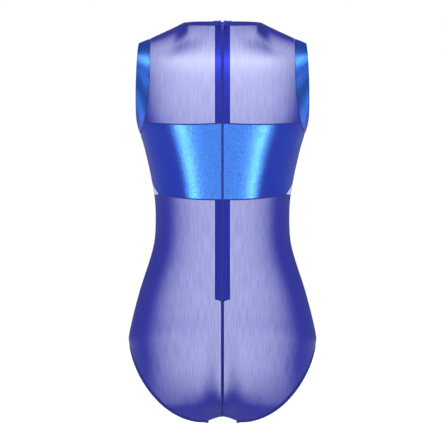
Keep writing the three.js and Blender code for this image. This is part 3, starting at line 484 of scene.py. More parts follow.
    def gusset(self, s: Array, v: Array) -> Array:
        """The crotch gusset between its two seams, s from 0 to 1 across."""
        inset = self.hem + 3 * self.gap
        middle = float(self.leg_inset(np.array([self.leg_back + self.leg_under / 2]), inset)[0, 0])
        q = np.abs(2 * s - 1)

        def seam(face: Face, t: float) -> Array:
            """One of its two seams."""
            corner = self.leg_inset(np.array([t]), inset)[0]
            return self.on_face(face, corner[0] * q, lerp(self.crotch_z, corner[2], q**self.crotch_curve))

        back, front = seam(Face.BACK, self.leg_back), seam(Face.FRONT, self.leg_back + self.leg_under)
        p = mix_points(back, front, v)
        p[..., 0] = lerp(p[..., 0], middle * q, np.sin(v * math.pi)) * np.where(s < 0.5, -1, 1)
        p[..., 2] -= self.gusset_sag * np.sin(v * math.pi)
        return p

    def arm_loop(self, t: Array, w: Array) -> Array:
        """The armhole binding: t round it from the shoulder by the back, w out to its edge."""
        angle = t * math.pi * 2
        level = (1 + np.cos(angle)) / 2
        z = lerp(self.arm_bottom_z, self.arm_top_z, level)
        x = np.minimum(self.arm_inner_x(z), self.half_width(z))
        back = (angle <= math.pi)[..., None]
        inner = np.where(back, self.on_face(Face.BACK, x, z), self.on_face(Face.FRONT, x, z))
        edge_x = self.arm_top_in + self.binding * self.arm_edge_share
        edge_z = self.arm_bottom_z + self.binding
        edge = np.stack([
            lerp(float(self.half_width(edge_z)), edge_x, level) + self.arm_bow * np.abs(np.sin(angle)),
            -self.arm_edge_half * np.sin(angle),
            lerp(edge_z, float(self.shoulder_z(edge_x)), level),
        ], -1)
        p = mix_points(inner, edge, lerp(self.gap / self.binding, 1, w))
        p[..., 0] += self.arm_crown * np.sin(w * math.pi)
        return p

    def neck_ring(self, angle: Array, w: Array) -> Array:
        """The neck binding: angle 0 at the centre back, a quarter turn at the shoulder."""
        grow = w * self.neck_binding
        x = (self.neck_half + grow) * np.abs(np.sin(angle))
        back = np.cos(angle) > -1e-6
        z = self.neck_line_z(x, grow, np.where(back, 0.0, self.front_neck_drop))
        p = np.where(back[..., None], self.on_face(Face.BACK, x, z), self.on_face(Face.FRONT, x, z))
        p[..., 0] *= np.where(np.sin(angle) < 0, -1, 1)
        return p


# ---- Meshes from grids ----
@dataclass
class Grid:
    """Points in millimetres, rows by columns, on the right; `centre` is an inner point's x and z, if it needs one."""

    points: Array
    closed: bool = False
    centre: Span | None = None

    def on(self, side: Side) -> "Grid":
        """The same piece on either of the wearer's sides."""
        return self if side is Side.RIGHT else Grid(self.points * MIRROR, self.closed, self.centre)

    def normals(self) -> Array:
        """Outward normals."""
        p = self.points
        d_row = np.roll(p, -1, 0) - np.roll(p, 1, 0) if self.closed else np.gradient(p, axis=0)
        n = unit(np.cross(d_row, np.gradient(p, axis=1)))
        middle = np.zeros_like(p)
        middle[..., 2] = p[..., 2]
        if self.centre:
            side = np.sign(p[..., 0].mean()) or 1
            middle[..., 0], middle[..., 2] = self.centre[0] * side, self.centre[1]
        out = n * (1 if np.sum(n * (p - middle)) > 0 else -1)
        if self.closed:  # a loop's corners turn over a few steps, not at one
            out = unit(sum(np.roll(out, k, 0) for k in range(-3, 4)))
        return out

    def lengths(self) -> tuple[Array, Array]:
        """Returns: arc length along each row, and along each column, in metres."""
        along = np.linalg.norm(np.diff(self.points, axis=1), axis=-1).cumsum(1)
        down = np.linalg.norm(np.diff(self.points, axis=0), axis=-1).cumsum(0)
        return np.pad(along, ((0, 0), (1, 0))) * MM, np.pad(down, ((1, 0), (0, 0))) * MM

    def area(self) -> float:
        """Area of the cloth's one face, in square metres."""
        p = close_loop(self.points) if self.closed else self.points
        a, b = p[1:, :-1] - p[:-1, :-1], p[:-1, 1:] - p[:-1, :-1]
        return float(np.linalg.norm(np.cross(a, b), axis=-1).sum()) * MM * MM

    def faces(self) -> Array:
        """Quads of a closed thin shell whose outer vertices come first, then the inner ones."""
        rows, columns = self.points.shape[:2]
        index = np.arange(rows * columns).reshape(rows, columns)
        if self.closed:
            index = close_loop(index)
        outer = np.stack([index[:-1, :-1], index[:-1, 1:], index[1:, 1:], index[1:, :-1]], -1).reshape(-1, 4)
        inner = outer[:, ::-1] + rows * columns
        edges = [index[:, 0][::-1], index[:, -1]]
        if not self.closed:
            edges += [index[0], index[-1][::-1]]
        rims = [np.stack([e[1:], e[:-1], e[:-1] + rows * columns, e[1:] + rows * columns], -1) for e in edges]
        return np.concatenate([outer, inner, *rims])


def close_loop(rows: Array) -> Array:
    """Rows with the first one again at the end."""
    return np.concatenate([rows, rows[:1]])


def span(count: int, start: float = 0.0, stop: float = 1.0) -> Array:
    """Even shares from start to stop, `count` steps."""
    return np.linspace(start, stop, count + 1)


def surface(half: Callable[[Array, Array], Array], across: Array, down: Array) -> Array:
    """Points of half(s, v) over the two lists of shares, rows along v."""
    return half(*np.meshgrid(across, down))


def both_halves(points: Array) -> Array:
    """Points of a whole piece from those of its right half, whose first column is the centre."""
    return np.concatenate([points[:, :0:-1] * MIRROR, points], 1)


def make_object(name: str, mesh: bpy.types.Mesh, material: bpy.types.Material | None = None) -> bpy.types.Object:
    """Links a mesh, in metres, as an object with its material."""
    if material:
        mesh.materials.clear()
        mesh.materials.append(material)
    piece = bpy.data.objects.new(name, mesh)
    bpy.context.scene.collection.objects.link(piece)
    return piece


def cloth(name: str, grid: Grid, wall: float, material: bpy.types.Material, lift: float = 0.0,
          ply: Array | float = 1.0, lined: Array | float = 1.0) -> bpy.types.Object:
    """A thin closed shell of cloth.

    Args:
        name: the piece's name.
        grid: its outer face.
        wall: its thickness in millimetres.
        material: its finish.
        lift: how far its outer face lies inside the grid, in millimetres.
        ply: how dense the cloth is at each point, 1 for one plain layer.
        lined: millimetres past the edge of the lining behind it.

    Returns:
        The piece, with a UV map in metres along the cloth.
    """
    normals = grid.normals()
    across, down = grid.lengths()
    cross = np.cross(np.gradient(grid.points, axis=1), np.gradient(grid.points, axis=0))
    points = np.concatenate([(grid.points - normals * depth).reshape(-1, 3) for depth in (lift, lift + wall)]) * MM
    faces = grid.faces()
    if np.sum(cross * normals) < 0:
        faces = faces[:, ::-1]
    mesh = bpy.data.meshes.new(name)
    mesh.from_pydata(points.tolist(), [], faces.tolist())
    uv = np.tile(np.stack([across.ravel(), down.ravel()], -1), (2, 1))
    corner = np.empty(len(mesh.loops), np.int32)
    mesh.loops.foreach_get("vertex_index", corner)
    mesh.uv_layers.new(name="Cloth").data.foreach_set("uv", uv[corner].astype(np.float32).ravel())
    # away, 1 less the normal's Y, is what the foil's painted shade follows
    for attribute, values in (("ply", ply), ("lined", lined), ("away", 1 - np.abs(normals[..., 1]))):
        spread = np.broadcast_to(values, normals.shape[:2]).ravel()
        data = mesh.attributes.new(attribute, "FLOAT", "POINT").data
        data.foreach_set("value", np.tile(spread, 2).astype(np.float32))
    mesh.shade_smooth()
    mesh.set_sharp_from_angle(angle=math.radians(50))
    return make_object(name, mesh, material)


# ---- Nodes and finishes ----
def srgb(code: str) -> tuple[float, float, float, float]:
    """Linear colour of an sRGB hex value."""
    channels = [int(code[i:i + 2], 16) / 255 for i in (1, 3, 5)]
    linear = [c / 12.92 if c <= 0.04045 else ((c + 0.055) / 1.055) ** 2.4 for c in channels]
    return (*linear, 1.0)


@dataclass
class Nodes:
    """Adds nodes to one tree. A kind without "Node" in its name gets the tree's prefix."""

    tree: bpy.types.NodeTree
    prefix: str = "ShaderNode"

    def add(self, kind: str, settings: dict | None = None, **inputs) -> bpy.types.Node:
        """Adds a node with its settings and links.

        Args:
            kind: the node's type.
            settings: properties of the node itself.
            inputs: a value or an output socket for each input, by name with _ for a space,
                or i0, i1 and so on for its place.

        Returns:
            The node.
        """
        node = self.tree.nodes.new(kind if "Node" in kind else self.prefix + kind)
        for name, value in (settings or {}).items():
            setattr(node, name, value)
        for name, value in inputs.items():
            place = int(name[1:]) if name[0] == "i" and name[1:].isdigit() else name.replace("_", " ")
            if isinstance(value, bpy.types.NodeSocket):
                self.tree.links.new(value, node.inputs[place])
            else:
                node.inputs[place].default_value = value
        return node

    def out(self, kind: str, output: int | str = 0, settings: dict | None = None, **inputs) -> Socket:
        """One output of a new node."""
        return self.add(kind, settings, **inputs).outputs[output]

    def maths(self, operation: str, *values) -> Socket:
        """Output of a Math node over values or sockets."""
        places = {f"i{k}": v for k, v in enumerate(values)}
        return self.out("ShaderNodeMath", 0, {"operation": operation}, **places)

    def weigh(self, first: Socket, share: float, second: Socket, other: float) -> Socket:
        """The sum of two sockets, each times its share."""
        return self.maths("ADD", self.maths("MULTIPLY", first, share), self.maths("MULTIPLY", second, other))

    def cloth_uv(self, across: float, down: float) -> Socket:
        """The cloth's own UV map, scaled."""
        uv = self.out("UVMap", "UV", {"uv_map": "Cloth"})
        return self.out("Mapping", Vector=uv, Scale=(across, down, 1.0))

    def place(self) -> Socket:
        """The point's place on the object."""
        return self.out("TexCoord", "Object")

    def noise(self, place: Socket, scale: float, detail: float) -> Socket:
        """A noise texture's value."""
        return self.out("TexNoise", "Fac", Vector=place, Scale=scale, Detail=detail)

    def ribs(self, axis: str, place: Socket, pitch: float, **inputs) -> Socket:
        """Bands across an axis, one every `pitch` metres."""
        return self.out("TexWave", "Fac", {"bands_direction": axis}, Vector=place, Scale=WAVE / pitch, **inputs)

    def attribute(self, name: str) -> Socket:
        """A value that the cloth carries."""
        return self.out("Attribute", "Fac", {"attribute_name": name})

    def tint(self, share: Socket, first: str, second: str) -> Socket:
        """A colour between two hex values."""
        return self.out("Mix", 2, {"data_type": "RGBA"}, Factor=share, i6=srgb(first), i7=srgb(second))

    def body(self, **inputs) -> Socket:
        """A principled shader."""
        return self.out("BsdfPrincipled", **inputs)

    def blend(self, share: Socket, first: Socket, second: Socket) -> Socket:
        """A mix of two shaders."""
        return self.out("MixShader", i0=share, i1=first, i2=second)


def finish(name: str, fill: Callable[[Nodes], Socket]) -> bpy.types.Material:
    """A material whose surface is what fill(nodes) makes."""
    material = bpy.data.materials.new(name)
    material.use_nodes = True
    material.node_tree.nodes.clear()
    nodes = Nodes(material.node_tree)
    nodes.add("OutputMaterial", Surface=fill(nodes))
    return material


@dataclass(frozen=True)
class SheerMesh:
    """Nylon power mesh, warp knitted, over a pale lining: face on the lining shows through the holes,
    and the dark thread closes over it as the cloth turns away."""

    name: str = "power_mesh_nylon_knitted"
    thread: str = "#1C2389"
    shade: str = "#161C78"
    gleam: str = "#8E96F0"
    lining: str = "#B5B8DA"
    lining_shade: str = "#9A9DC4"
    tint: str = "#E4E8FF"
    cover: float = 0.62  # how much of the light the knit stops, face on
    turn: float = 5.4  # how fast it closes up as it turns away
    wale: float = 2.3 * MM  # the real wales are 0.6 mm apart, drawn coarser so that they show
    streak: tuple[float, float] = (430.0, 34.0)  # streaks a metre, across and along
    wale_share: float = 0.16
    streak_share: float = 0.55
    plain_share: float = 0.645

    def fill(self, nodes: Nodes) -> Socket:
        """Returns: the knitted mesh with its vertical wales, as streaks of denser thread."""
        weight = nodes.out("LayerWeight", "Facing", Blend=0.5)
        facing = nodes.maths("MAXIMUM", nodes.maths("SUBTRACT", 1.0, weight), 0.12)
        closing = nodes.maths("POWER", facing, -self.turn)
        lined = nodes.out("MapRange", Value=nodes.attribute("lined"), From_Min=0.05, From_Max=0.35)
        wales = nodes.ribs("X", nodes.cloth_uv(1, 0.02), self.wale, Distortion=0.3, Detail=1.0)
        streaks = nodes.noise(nodes.cloth_uv(*self.streak), 1.0, 3.0)
        knit = nodes.weigh(wales, self.wale_share, streaks, self.streak_share)
        # ply carries painted light and shade: the yoke's highlight over the shoulder blades, its shade towards the
        # top, and the bare wedges' painted highlight
        density = nodes.maths("MULTIPLY", nodes.maths("ADD", knit, self.plain_share), nodes.attribute("ply"))
        depth = nodes.maths("MULTIPLY", nodes.maths("MULTIPLY", closing, density), -self.cover)
        thread = nodes.body(Base_Color=nodes.tint(streaks, self.thread, self.shade), Roughness=0.55,
                            Specular_IOR_Level=0.25, Sheen_Weight=0.03, Sheen_Roughness=0.3,
                            Sheen_Tint=srgb(self.gleam))
        lining = nodes.body(Base_Color=nodes.tint(streaks, self.lining, self.lining_shade), Roughness=0.8,
                            Specular_IOR_Level=0.1)
        behind = nodes.blend(lined, nodes.out("BsdfTransparent", Color=srgb(self.tint)), lining)
        return nodes.blend(nodes.maths("EXPONENT", depth), thread, behind)


@dataclass(frozen=True)
class FoilPrint:
    """Spandex with a metallic foil printed on it: bright azure face on, with painted shade where the cloth turns to
    the side, and fine cracks from stretching.
    """

    name: str = "foil_printed_spandex"
    foil: str = "#559AFA"
    ground: str = "#0F2389"
    dim_from: float = 0.035  # painted shade: the foil gives way to its dark ground where the cloth turns to the side, by 1 less its normal's Y
    dim_to: float = 0.105
    dim_most: float = 0.86
    crackle: float = 2.4 * MM  # real cracks are under 1 mm apart, drawn coarser so that they show
    grain: float = 430.0  # grains a metre, 2.3 mm apart: the real ones are finer, drawn coarser so that they show
    drift: float = 45.0
    roughness: float = 0.26

    def fill(self, nodes: Nodes) -> Socket:
        """Returns: foil over its blue ground."""
        place = nodes.place()
        cells = nodes.out("TexVoronoi", "Distance", {"feature": "DISTANCE_TO_EDGE"}, Vector=place,
                          Scale=1 / self.crackle)
        grain = nodes.noise(place, self.grain, 4.0)
        crack = nodes.maths("SUBTRACT", 1.0, nodes.maths("MULTIPLY", cells, 9.0))
        crack = nodes.maths("MULTIPLY", nodes.maths("MAXIMUM", crack, 0.0), nodes.noise(place, self.drift, 3.0))
        # Painted shade: the dark reflections at the band's sides, put in the colour by how far the cloth turns to the
        # side
        turned = nodes.out("MapRange", 0, {"interpolation_type": "SMOOTHSTEP"}, Value=nodes.attribute("away"),
                           From_Min=self.dim_from, From_Max=self.dim_to, To_Max=self.dim_most)
        worn = nodes.weigh(crack, 0.6, nodes.maths("SUBTRACT", grain, 0.3), 0.9)
        # The cracks and grain, with the painted shade added to them
        worn = nodes.out("Clamp", Value=nodes.maths("ADD", worn, turned), Min=0.05, Max=0.97)
        bump = nodes.out("Bump", Strength=0.2, Distance=0.3 * MM, Height=nodes.weigh(grain, 0.5, crack, -0.8))
        foil = nodes.body(Base_Color=srgb(self.foil), Metallic=1.0, Roughness=self.roughness, Normal=bump)
        ground = nodes.body(Base_Color=srgb(self.ground), Roughness=0.4, Specular_IOR_Level=0.2, Normal=bump)
        return nodes.blend(worn, foil, ground)


@dataclass(frozen=True)
class KnitFinish:
    """A dyed textile with a fine rib or weave: matt, with a soft sheen at its edges."""

    name: str
    colour: str
    shade: str
    pitch: tuple[float, float]  # ribs across and along, in millimetres
    sheen: float = 0.05
    roughness: float = 0.7
    fuzz: float = 700.0
    relief: float = 0.15 * MM

    def fill(self, nodes: Nodes) -> Socket:
        """Returns: the textile, shaded in the hollows of its weave."""
        across = nodes.ribs("X", nodes.cloth_uv(1, 0), self.pitch[0] * MM)
        along = nodes.ribs("Y", nodes.cloth_uv(0, 1), self.pitch[1] * MM)
        weave = nodes.weigh(across, 0.5, along, 0.5)
        tone = nodes.weigh(weave, 0.5, nodes.noise(nodes.cloth_uv(1, 1), self.fuzz, 3.0), 0.5)
        bump = nodes.out("Bump", Strength=0.6, Distance=self.relief, Height=weave)
        return nodes.body(Base_Color=nodes.tint(tone, self.shade, self.colour), Roughness=self.roughness,
                          Specular_IOR_Level=0.3, Sheen_Weight=self.sheen, Sheen_Roughness=0.4, Normal=bump)


@dataclass(frozen=True)
class SolidFinish:
    """A moulded or coated hard part: one colour, with faint unevenness in its gloss."""

    name: str
    colour: str
    roughness: float
    coat: float = 0.0
    specks: float = 1500.0

    def fill(self, nodes: Nodes) -> Socket:
        """Returns: the coated part."""
        specks = nodes.noise(nodes.place(), self.specks, 2.0)
        rough = nodes.maths("ADD", nodes.maths("MULTIPLY", specks, 0.16), self.roughness - 0.08)
        bump = nodes.out("Bump", Strength=0.2, Distance=0.05 * MM, Height=specks)
        return nodes.body(Base_Color=srgb(self.colour), Roughness=rough, Coat_Weight=self.coat,
                          Coat_Roughness=0.12, Normal=bump)


class Wardrobe:
    """All the materials, each built once from its finish."""

    FINISHES = {
        "mesh": SheerMesh(),
        "foil": FoilPrint(),
        # The binding's painted shade runs from 0.2 to 0.8 of 1 less its normal's Y
        "foil_trim": FoilPrint("foil_printed_binding", "#4A90FF", "#112390", 0.2, 0.8),
        "binding": KnitFinish("spandex_binding_knitted", "#12187E", "#0C1062", (0.9, 1.4)),
        "tape": KnitFinish("polyester_zip_tape_woven", "#7A86EA", "#4450DC", (1.2, 1.8)),
        "thread": KnitFinish("polyester_thread_spun", "#1C2386", "#111660", (0.5, 1.0)),
        "elastic": KnitFinish("rubber_elastic_braided", "#2B3196", "#1C226E", (0.8, 0.8), 0.2),
        "nylon": SolidFinish("nylon_coil_extruded", "#232C9C", 0.4),
        "metal": SolidFinish("zinc_slider_enamelled", "#161E80", 0.42, 0.2),
    }

    def __init__(self) -> None:
        """Builds the materials."""
        self.materials = {use: finish(sort.name, sort.fill) for use, sort in self.FINISHES.items()}

    def __getitem__(self, use: str) -> bpy.types.Material:
        """The material for one use."""
        return self.materials[use]


# ---- Geometry node trees ----
class NodeTool:
    """A geometry node tree that sets one shape on even points of a line, and is baked to a plain mesh."""

    def __init__(self, name: str, sizes: dict[str, float]) -> None:
        """Args:
        name: the tree's name.
        sizes: its named inputs with their usual values.
        """
        self.tree = bpy.data.node_groups.new(name, "GeometryNodeTree")
        face = self.tree.interface
        for way in ("INPUT", "OUTPUT"):
            face.new_socket("Geometry", in_out=way, socket_type="NodeSocketGeometry")
        for size, value in sizes.items():
            face.new_socket(size, in_out="INPUT", socket_type="NodeSocketFloat").default_value = value
        face.new_socket("Finish", in_out="INPUT", socket_type="NodeSocketMaterial")
        nodes = self.nodes = Nodes(self.tree, "GeometryNode")
        self.inputs = nodes.add("NodeGroupInput").outputs
        points, turn = self.along_line()
        shape, spin, across = self.shape()
        turned = nodes.out("FunctionNodeRotateRotation", 0, {"rotation_space": "LOCAL"}, Rotation=turn, Rotate_By=spin)
        length, thick = (self.inputs[size] for size in across)
        scale = nodes.out("ShaderNodeCombineXYZ", X=length, Y=thick, Z=thick)
        placed = nodes.out("InstanceOnPoints", Points=points, Instance=shape, Rotation=turned, Scale=scale)
        real = nodes.out("RealizeInstances", Geometry=placed)
        dressed = nodes.out("SetMaterial", Geometry=real, Material=self.inputs["Finish"])
        nodes.add("NodeGroupOutput", Geometry=dressed)

    def shape(self) -> tuple[Socket, Socket, tuple[str, str]]:
        """Returns: a shape 1 m across, its extra rotation, and the names of its length and its thickness."""
        raise NotImplementedError

    def along_line(self) -> tuple[Socket, Socket]:
        """Returns: evenly spaced points on the line, and a rotation with X along it and Z out of the cloth."""
        nodes = self.nodes
        line = nodes.out("MeshToCurve", Mesh=self.inputs["Geometry"])
        even = nodes.out("ResampleCurve", 0, {"mode": "LENGTH"}, Curve=line, Length=self.inputs["Spacing"])
        out = nodes.out("InputNamedAttribute", "Attribute", {"data_type": "FLOAT_VECTOR"}, Name="out")
        align = "FunctionNodeAlignRotationToVector"
        first = nodes.out(align, 0, {"axis": "X"}, Vector=nodes.out("InputTangent"))
        return even, nodes.out(align, 0, {"axis": "Z", "pivot_axis": "X"}, Rotation=first, Vector=out)

    def apply(self, name: str, points: Array, out: Array, material: bpy.types.Material,
              **sizes: float) -> bpy.types.Object:
        """Bakes the tree on a line into a plain piece.

        Args:
            name: the piece's name.
            points: the line, in millimetres.
            out: the way out of the cloth at each point.
            material: its finish.
            sizes: values for the named inputs.

        Returns:
            The piece.
        """
        line = bpy.data.meshes.new("line")
        line.from_pydata((points * MM).tolist(), [(k, k + 1) for k in range(len(points) - 1)], [])
        line.attributes.new("out", "FLOAT_VECTOR", "POINT").data.foreach_set("vector", out.astype(np.float32).ravel())
        host = make_object("line", line)
        modifier = host.modifiers.new("tool", "NODES")
        modifier.node_group = self.tree
        values = sizes | {"Finish": material}
        for item in self.tree.interface.items_tree:
            if item.in_out == "INPUT" and item.name in values:
                modifier[item.identifier] = values[item.name]
        shown = host.evaluated_get(bpy.context.evaluated_depsgraph_get())
        mesh = bpy.data.meshes.new_from_object(shown)
        mesh.name = name
        bpy.data.objects.remove(host)
        return make_object(name, mesh, material)


class StitchTool(NodeTool):
    """Stitches along a line, straight or as a zigzag."""

    def shape(self) -> tuple[Socket, Socket, tuple[str, str]]:
        """Returns: a small rounded stitch, turned one way and then the other."""
        nodes = self.nodes
        odd = nodes.maths("MODULO", nodes.out("InputIndex"), 2.0)
        flip = nodes.maths("SUBTRACT", nodes.maths("MULTIPLY", odd, 2.0), 1.0)
        angle = nodes.out("ShaderNodeCombineXYZ", Z=nodes.maths("MULTIPLY", flip, self.inputs["Zigzag"]))
        stitch = nodes.out("MeshUVSphere", Segments=6, Rings=4, Radius=0.5)
        return stitch, nodes.out("FunctionNodeEulerToRotation", i0=angle), ("Length", "Thread")


class CoilTool(NodeTool):
    """A row of a nylon coil zip: one flattened loop of monofilament on each point of a line."""

    LEAN = 0.22  # radians along the row
    FILAMENT = 0.17  # radius of the filament, by the loop's width

    def shape(self) -> tuple[Socket, Socket, tuple[str, str]]:
        """Returns: a loop that leans a little along the row."""
        ring, thread = (self.nodes.out("CurvePrimitiveCircle", Resolution=steps, Radius=radius)
                        for steps, radius in ((8, 0.5), (4, self.FILAMENT)))
        loop = self.nodes.out("CurveToMesh", Curve=ring, Profile_Curve=thread)
        stand = self.nodes.out("FunctionNodeEulerToRotation", i0=(0.0, math.pi / 2 - self.LEAN, 0.0))
        return loop, stand, ("Depth", "Width")


# ---- Sub-assemblies ----
@dataclass
class Tailor:
    """What every sub-assembly needs: the shape, the finishes and how pieces are joined to the bodies."""

    form: Form
    wardrobe: Wardrobe
    stretch: float = 1.08  # the worn cloth is this much longer than it was cut
    fold_outside: float = 2.0  # the back bends from here
    fold_inside: float = 11.0  # to here, either side of its fold line
    least_share: float = 0.4  # of a cut's rectangle
    least_width: float = 0.0101  # narrower strips are trim

    def __post_init__(self) -> None:
        """Builds the shared node tools."""
        self.stitches = StitchTool("Stitch row", {"Spacing": 3 * MM, "Length": 2 * MM, "Thread": 0.4 * MM,
                                                  "Zigzag": 0.0})
        self.coils = CoilTool("Coil row", {"Spacing": 1.3 * MM, "Width": 1.9 * MM, "Depth": 1.8 * MM})

    def join(self, piece: bpy.types.Object, side: Side | None, slot: str, *nodes: str) -> None:
        """Fixes a piece to the garment, or bakes the place of a flap's piece into its mesh.

        Args:
            piece: the piece.
            side: the flap's side, None for a piece fixed to the garment.
            slot: the record's slot that its finish stands for; not used.
            nodes: the nodes it replaces.
        """
        if side:
            joint = next(j for j in frame["joints"] if j["child"] == f"flap_{side.word}")
            origin, axis = Vector(joint["pos_m"]), Vector(joint["axis"]).normalized()
            inward = Vector((-side.value, 0, 0))
            inward = (inward - axis * inward.dot(axis)).normalized()
            f"flap_{side.word}"
            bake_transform(piece)
        else:
            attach(piece, "garment")
        if nodes:
            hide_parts(*nodes)
        log.info("%s: %d faces", piece.name, len(piece.data.polygons))

    def cut(self, piece: bpy.types.Object, grid: Grid) -> None:
        """Works out the size a sheet was cut to, before it was stretched to the worn shape, and logs a strip too
        narrow to be a sheet as trim.
        """
        across, down = grid.lengths()
        width, length = float(across.max()) / self.stretch, float(down.max()) / self.stretch
        area = min(grid.area() / self.stretch**2, width * length)
        if area < self.least_share * width * length:  # a strip that tapers: its mean width
            width = area / length
        if min(width, length) < self.least_width:
            log.info("%s is trim %.1f mm wide, too narrow to be a sheet", piece.name, min(width, length) / MM)
            return

    def sew(self, name: str, grid: Grid, wall: float, finish_for: str, slot: str, *nodes: str,
            side: Side | None = None, **options) -> None:
        """Makes a cloth, joins it and works out the size it was cut to.

        Args:
            name: the piece's name.
            grid: its outer face.
            wall: its thickness in millimetres.
            finish_for: its use in the wardrobe.
            slot: the record's slot that its finish stands for.
            nodes: the nodes it replaces.
            side: the flap's side, None for a piece fixed to the garment.
            options: the cloth's lift, ply and lined.
        """
        piece = cloth(name, grid, wall, self.wardrobe[finish_for], **options)
        self.join(piece, side, slot, *nodes)
        self.cut(piece, grid)

    def stitch(self, name: str, points: Array, out: Array, spacing: float = 3.0, length: float = 2.2,
               thread: float = 0.45, zigzag: float = 0.0) -> None:
        """A row of stitches on the garment along a line, all in millimetres."""
        row = self.stitches.apply(name, points, out, self.wardrobe["thread"], Spacing=spacing * MM,
                                  Length=length * MM, Thread=thread * MM, Zigzag=zigzag)
        self.join(row, None, "seam_thread")


@dataclass
class MeshPanels:
    """The sheer mesh: the back yoke's halves, the lower back's halves, the side wedges and the front."""

    tailor: Tailor
    wall: float = 0.4
    yoke_columns: tuple[int, int] = (44, 20)  # round the neck, then along the shoulder
    yoke_rows: int = 54
    lower_columns: int = 75
    lower_rows: int = 110
    lining_edge: float = 12.2
    seam_edge: float = 2.3
    front_ply: float = 0.9
    tape_ply: float = 0.24
    tape_span: Span = (11.0, 13.5)  # the cloth is pulled thin where it is sewn over the tapes
    cleft_ply: float = 0.62
    cleft_reach: float = 27.0
    cleft_top: Span = (-200.0, -262.0)
    cleft_foot: Span = (-330.0, -300.0)
    low_ply: float = 1.2
    low_rise: Span = (-272.0, -316.0)
    low_reach: Span = (75.0, 20.0)
    shoulder_rise: Span = (262.0, 300.0)
    arm_from: Span = (62.0, 24.0)  # below and above that rise
    arm_reach: Span = (56.0, 34.0)
    # Painted highlight and shade on the yoke: least cover at 258 mm, over the shoulder blades, more towards the top
    blade_ply: Profile = Profile((160, 0.95), (196, 0.7), (229, 0.5), (246, 0.2), (258, 0.04), (268, 0.25),
                                 (282, 0.7), (295, 1.0), (308, 1.25), (325, 1.3))
    arm_ply: Profile = Profile((160, 1.15), (196, 0.75), (229, 0.45), (262, 0.22), (290, 0.15), (310, 0.11))

    def neck_columns(self, left: float) -> Array:
        """Shares of a yoke's width with even steps round the neck, then along the shoulder."""
        form = self.tailor.form
        neck = form.neck_half + form.neck_seam
        angles = span(self.yoke_columns[0], math.asin(left / neck), math.pi / 2)
        x = np.concatenate([neck * np.sin(angles), span(self.yoke_columns[1], neck, form.arm_top_in)[1:]])
        return (x - left) / (form.arm_top_in - left)

    def build(self) -> None:
        """Builds every mesh panel."""
        form = self.tailor.form
        left = float(form.zip_edge_x(form.neck_top_z))
        rows, low_rows, low_columns = span(self.yoke_rows), span(self.lower_rows), span(self.lower_columns)
        yoke = surface(partial(form.yoke, Face.BACK, form.zip_edge_x), self.neck_columns(left), rows)
        lower = surface(partial(form.lower, Face.BACK, lambda z: form.zip_edge + 0 * z), low_columns, low_rows)
        for side in Side:
            for name, points, nodes in (
                ("yoke", yoke, ("back_yoke", "back_yoke_flap")),
                ("seat", lower, ("lower_back", "lower_back_flap")),
                ("wedge", surface(form.wedge, span(8), span(12)), ("side_wedge",)),
            ):
                ply, lined = self.density(name, points)
                self.tailor.sew(f"{name}_{side.word}", Grid(points).on(side), self.wall, "mesh", "sheer_mesh",
                                *(f"{n}_{side.word}" for n in nodes), side=None if name == "wedge" else side,
                                ply=ply, lined=lined)
        yoke = surface(partial(form.yoke, Face.FRONT, on_centre), self.neck_columns(0.0), rows)
        lower = surface(partial(form.lower, Face.FRONT, on_centre), low_columns, low_rows)
        for name, points, node, centre in (
            ("front_yoke_mesh", both_halves(yoke), "front_yoke", None),
            ("front_body_mesh", both_halves(lower), "front_body", None),
            ("gusset_mesh", surface(form.gusset, span(40), span(24)), "crotch_gusset", (0.0, 0.0)),
        ):
            self.tailor.sew(name, Grid(points, centre=centre), self.wall, "mesh", "sheer_mesh", node,
                            ply=self.front_ply)

    def density(self, name: str, points: Array) -> tuple[Array, Array]:
        """How dense the cloth is, which paints the yoke's light and shade, and how it is lined.

        Args:
            name: the panel: yoke, seat or wedge.
            points: its points.

        Returns:
            How dense it is at each point, and the millimetres past the lining's edge, which stops at the zip's tapes
            and at the centre seam. The yoke's density paints light and shade: thinnest over the shoulder blades for
            a painted highlight, denser towards the top for painted shade, and towards the armholes denser low down
            and thinner high up. The seat is thinner in the cleft so that its steep sides don't turn dark, and denser
            towards the bottom; the wedge is left bare.
        """
        x, z = np.abs(points[..., 0]), points[..., 2]
        if name == "wedge":  # painted highlight: no thread, so the wedge shows the pale lining in place of rim light
            return np.zeros(x.shape), np.ones(x.shape)
        beside_zip = z > self.tailor.form.zip_bottom
        thin = np.where(beside_zip, lerp(self.tape_ply, 1.0, smooth(*self.tape_span, x)), 1.0)
        if name == "yoke":
            high = smooth(*self.shoulder_rise, z)
            outer = smooth(0, 1, (x - lerp(*self.arm_from, high)) / lerp(*self.arm_reach, high))
            # The yoke's density is its painted highlight and shade
            ply = lerp(self.blade_ply(z), self.arm_ply(z), outer)
        else:
            cleft = np.exp(-((x / self.cleft_reach) ** 2)) * smooth(*self.cleft_top, z) * smooth(*self.cleft_foot, z)
            low = self.low_ply * smooth(*self.low_rise, z) * smooth(*self.low_reach, x)
            ply = (1 + low) * (1 - self.cleft_ply * cleft)
        return ply * thin, x - np.where(beside_zip, self.lining_edge, self.seam_edge)


def on_centre(z: Array) -> Array:
    """The edge of a half that has no centre seam."""
    return 0 * np.asarray(z, float)


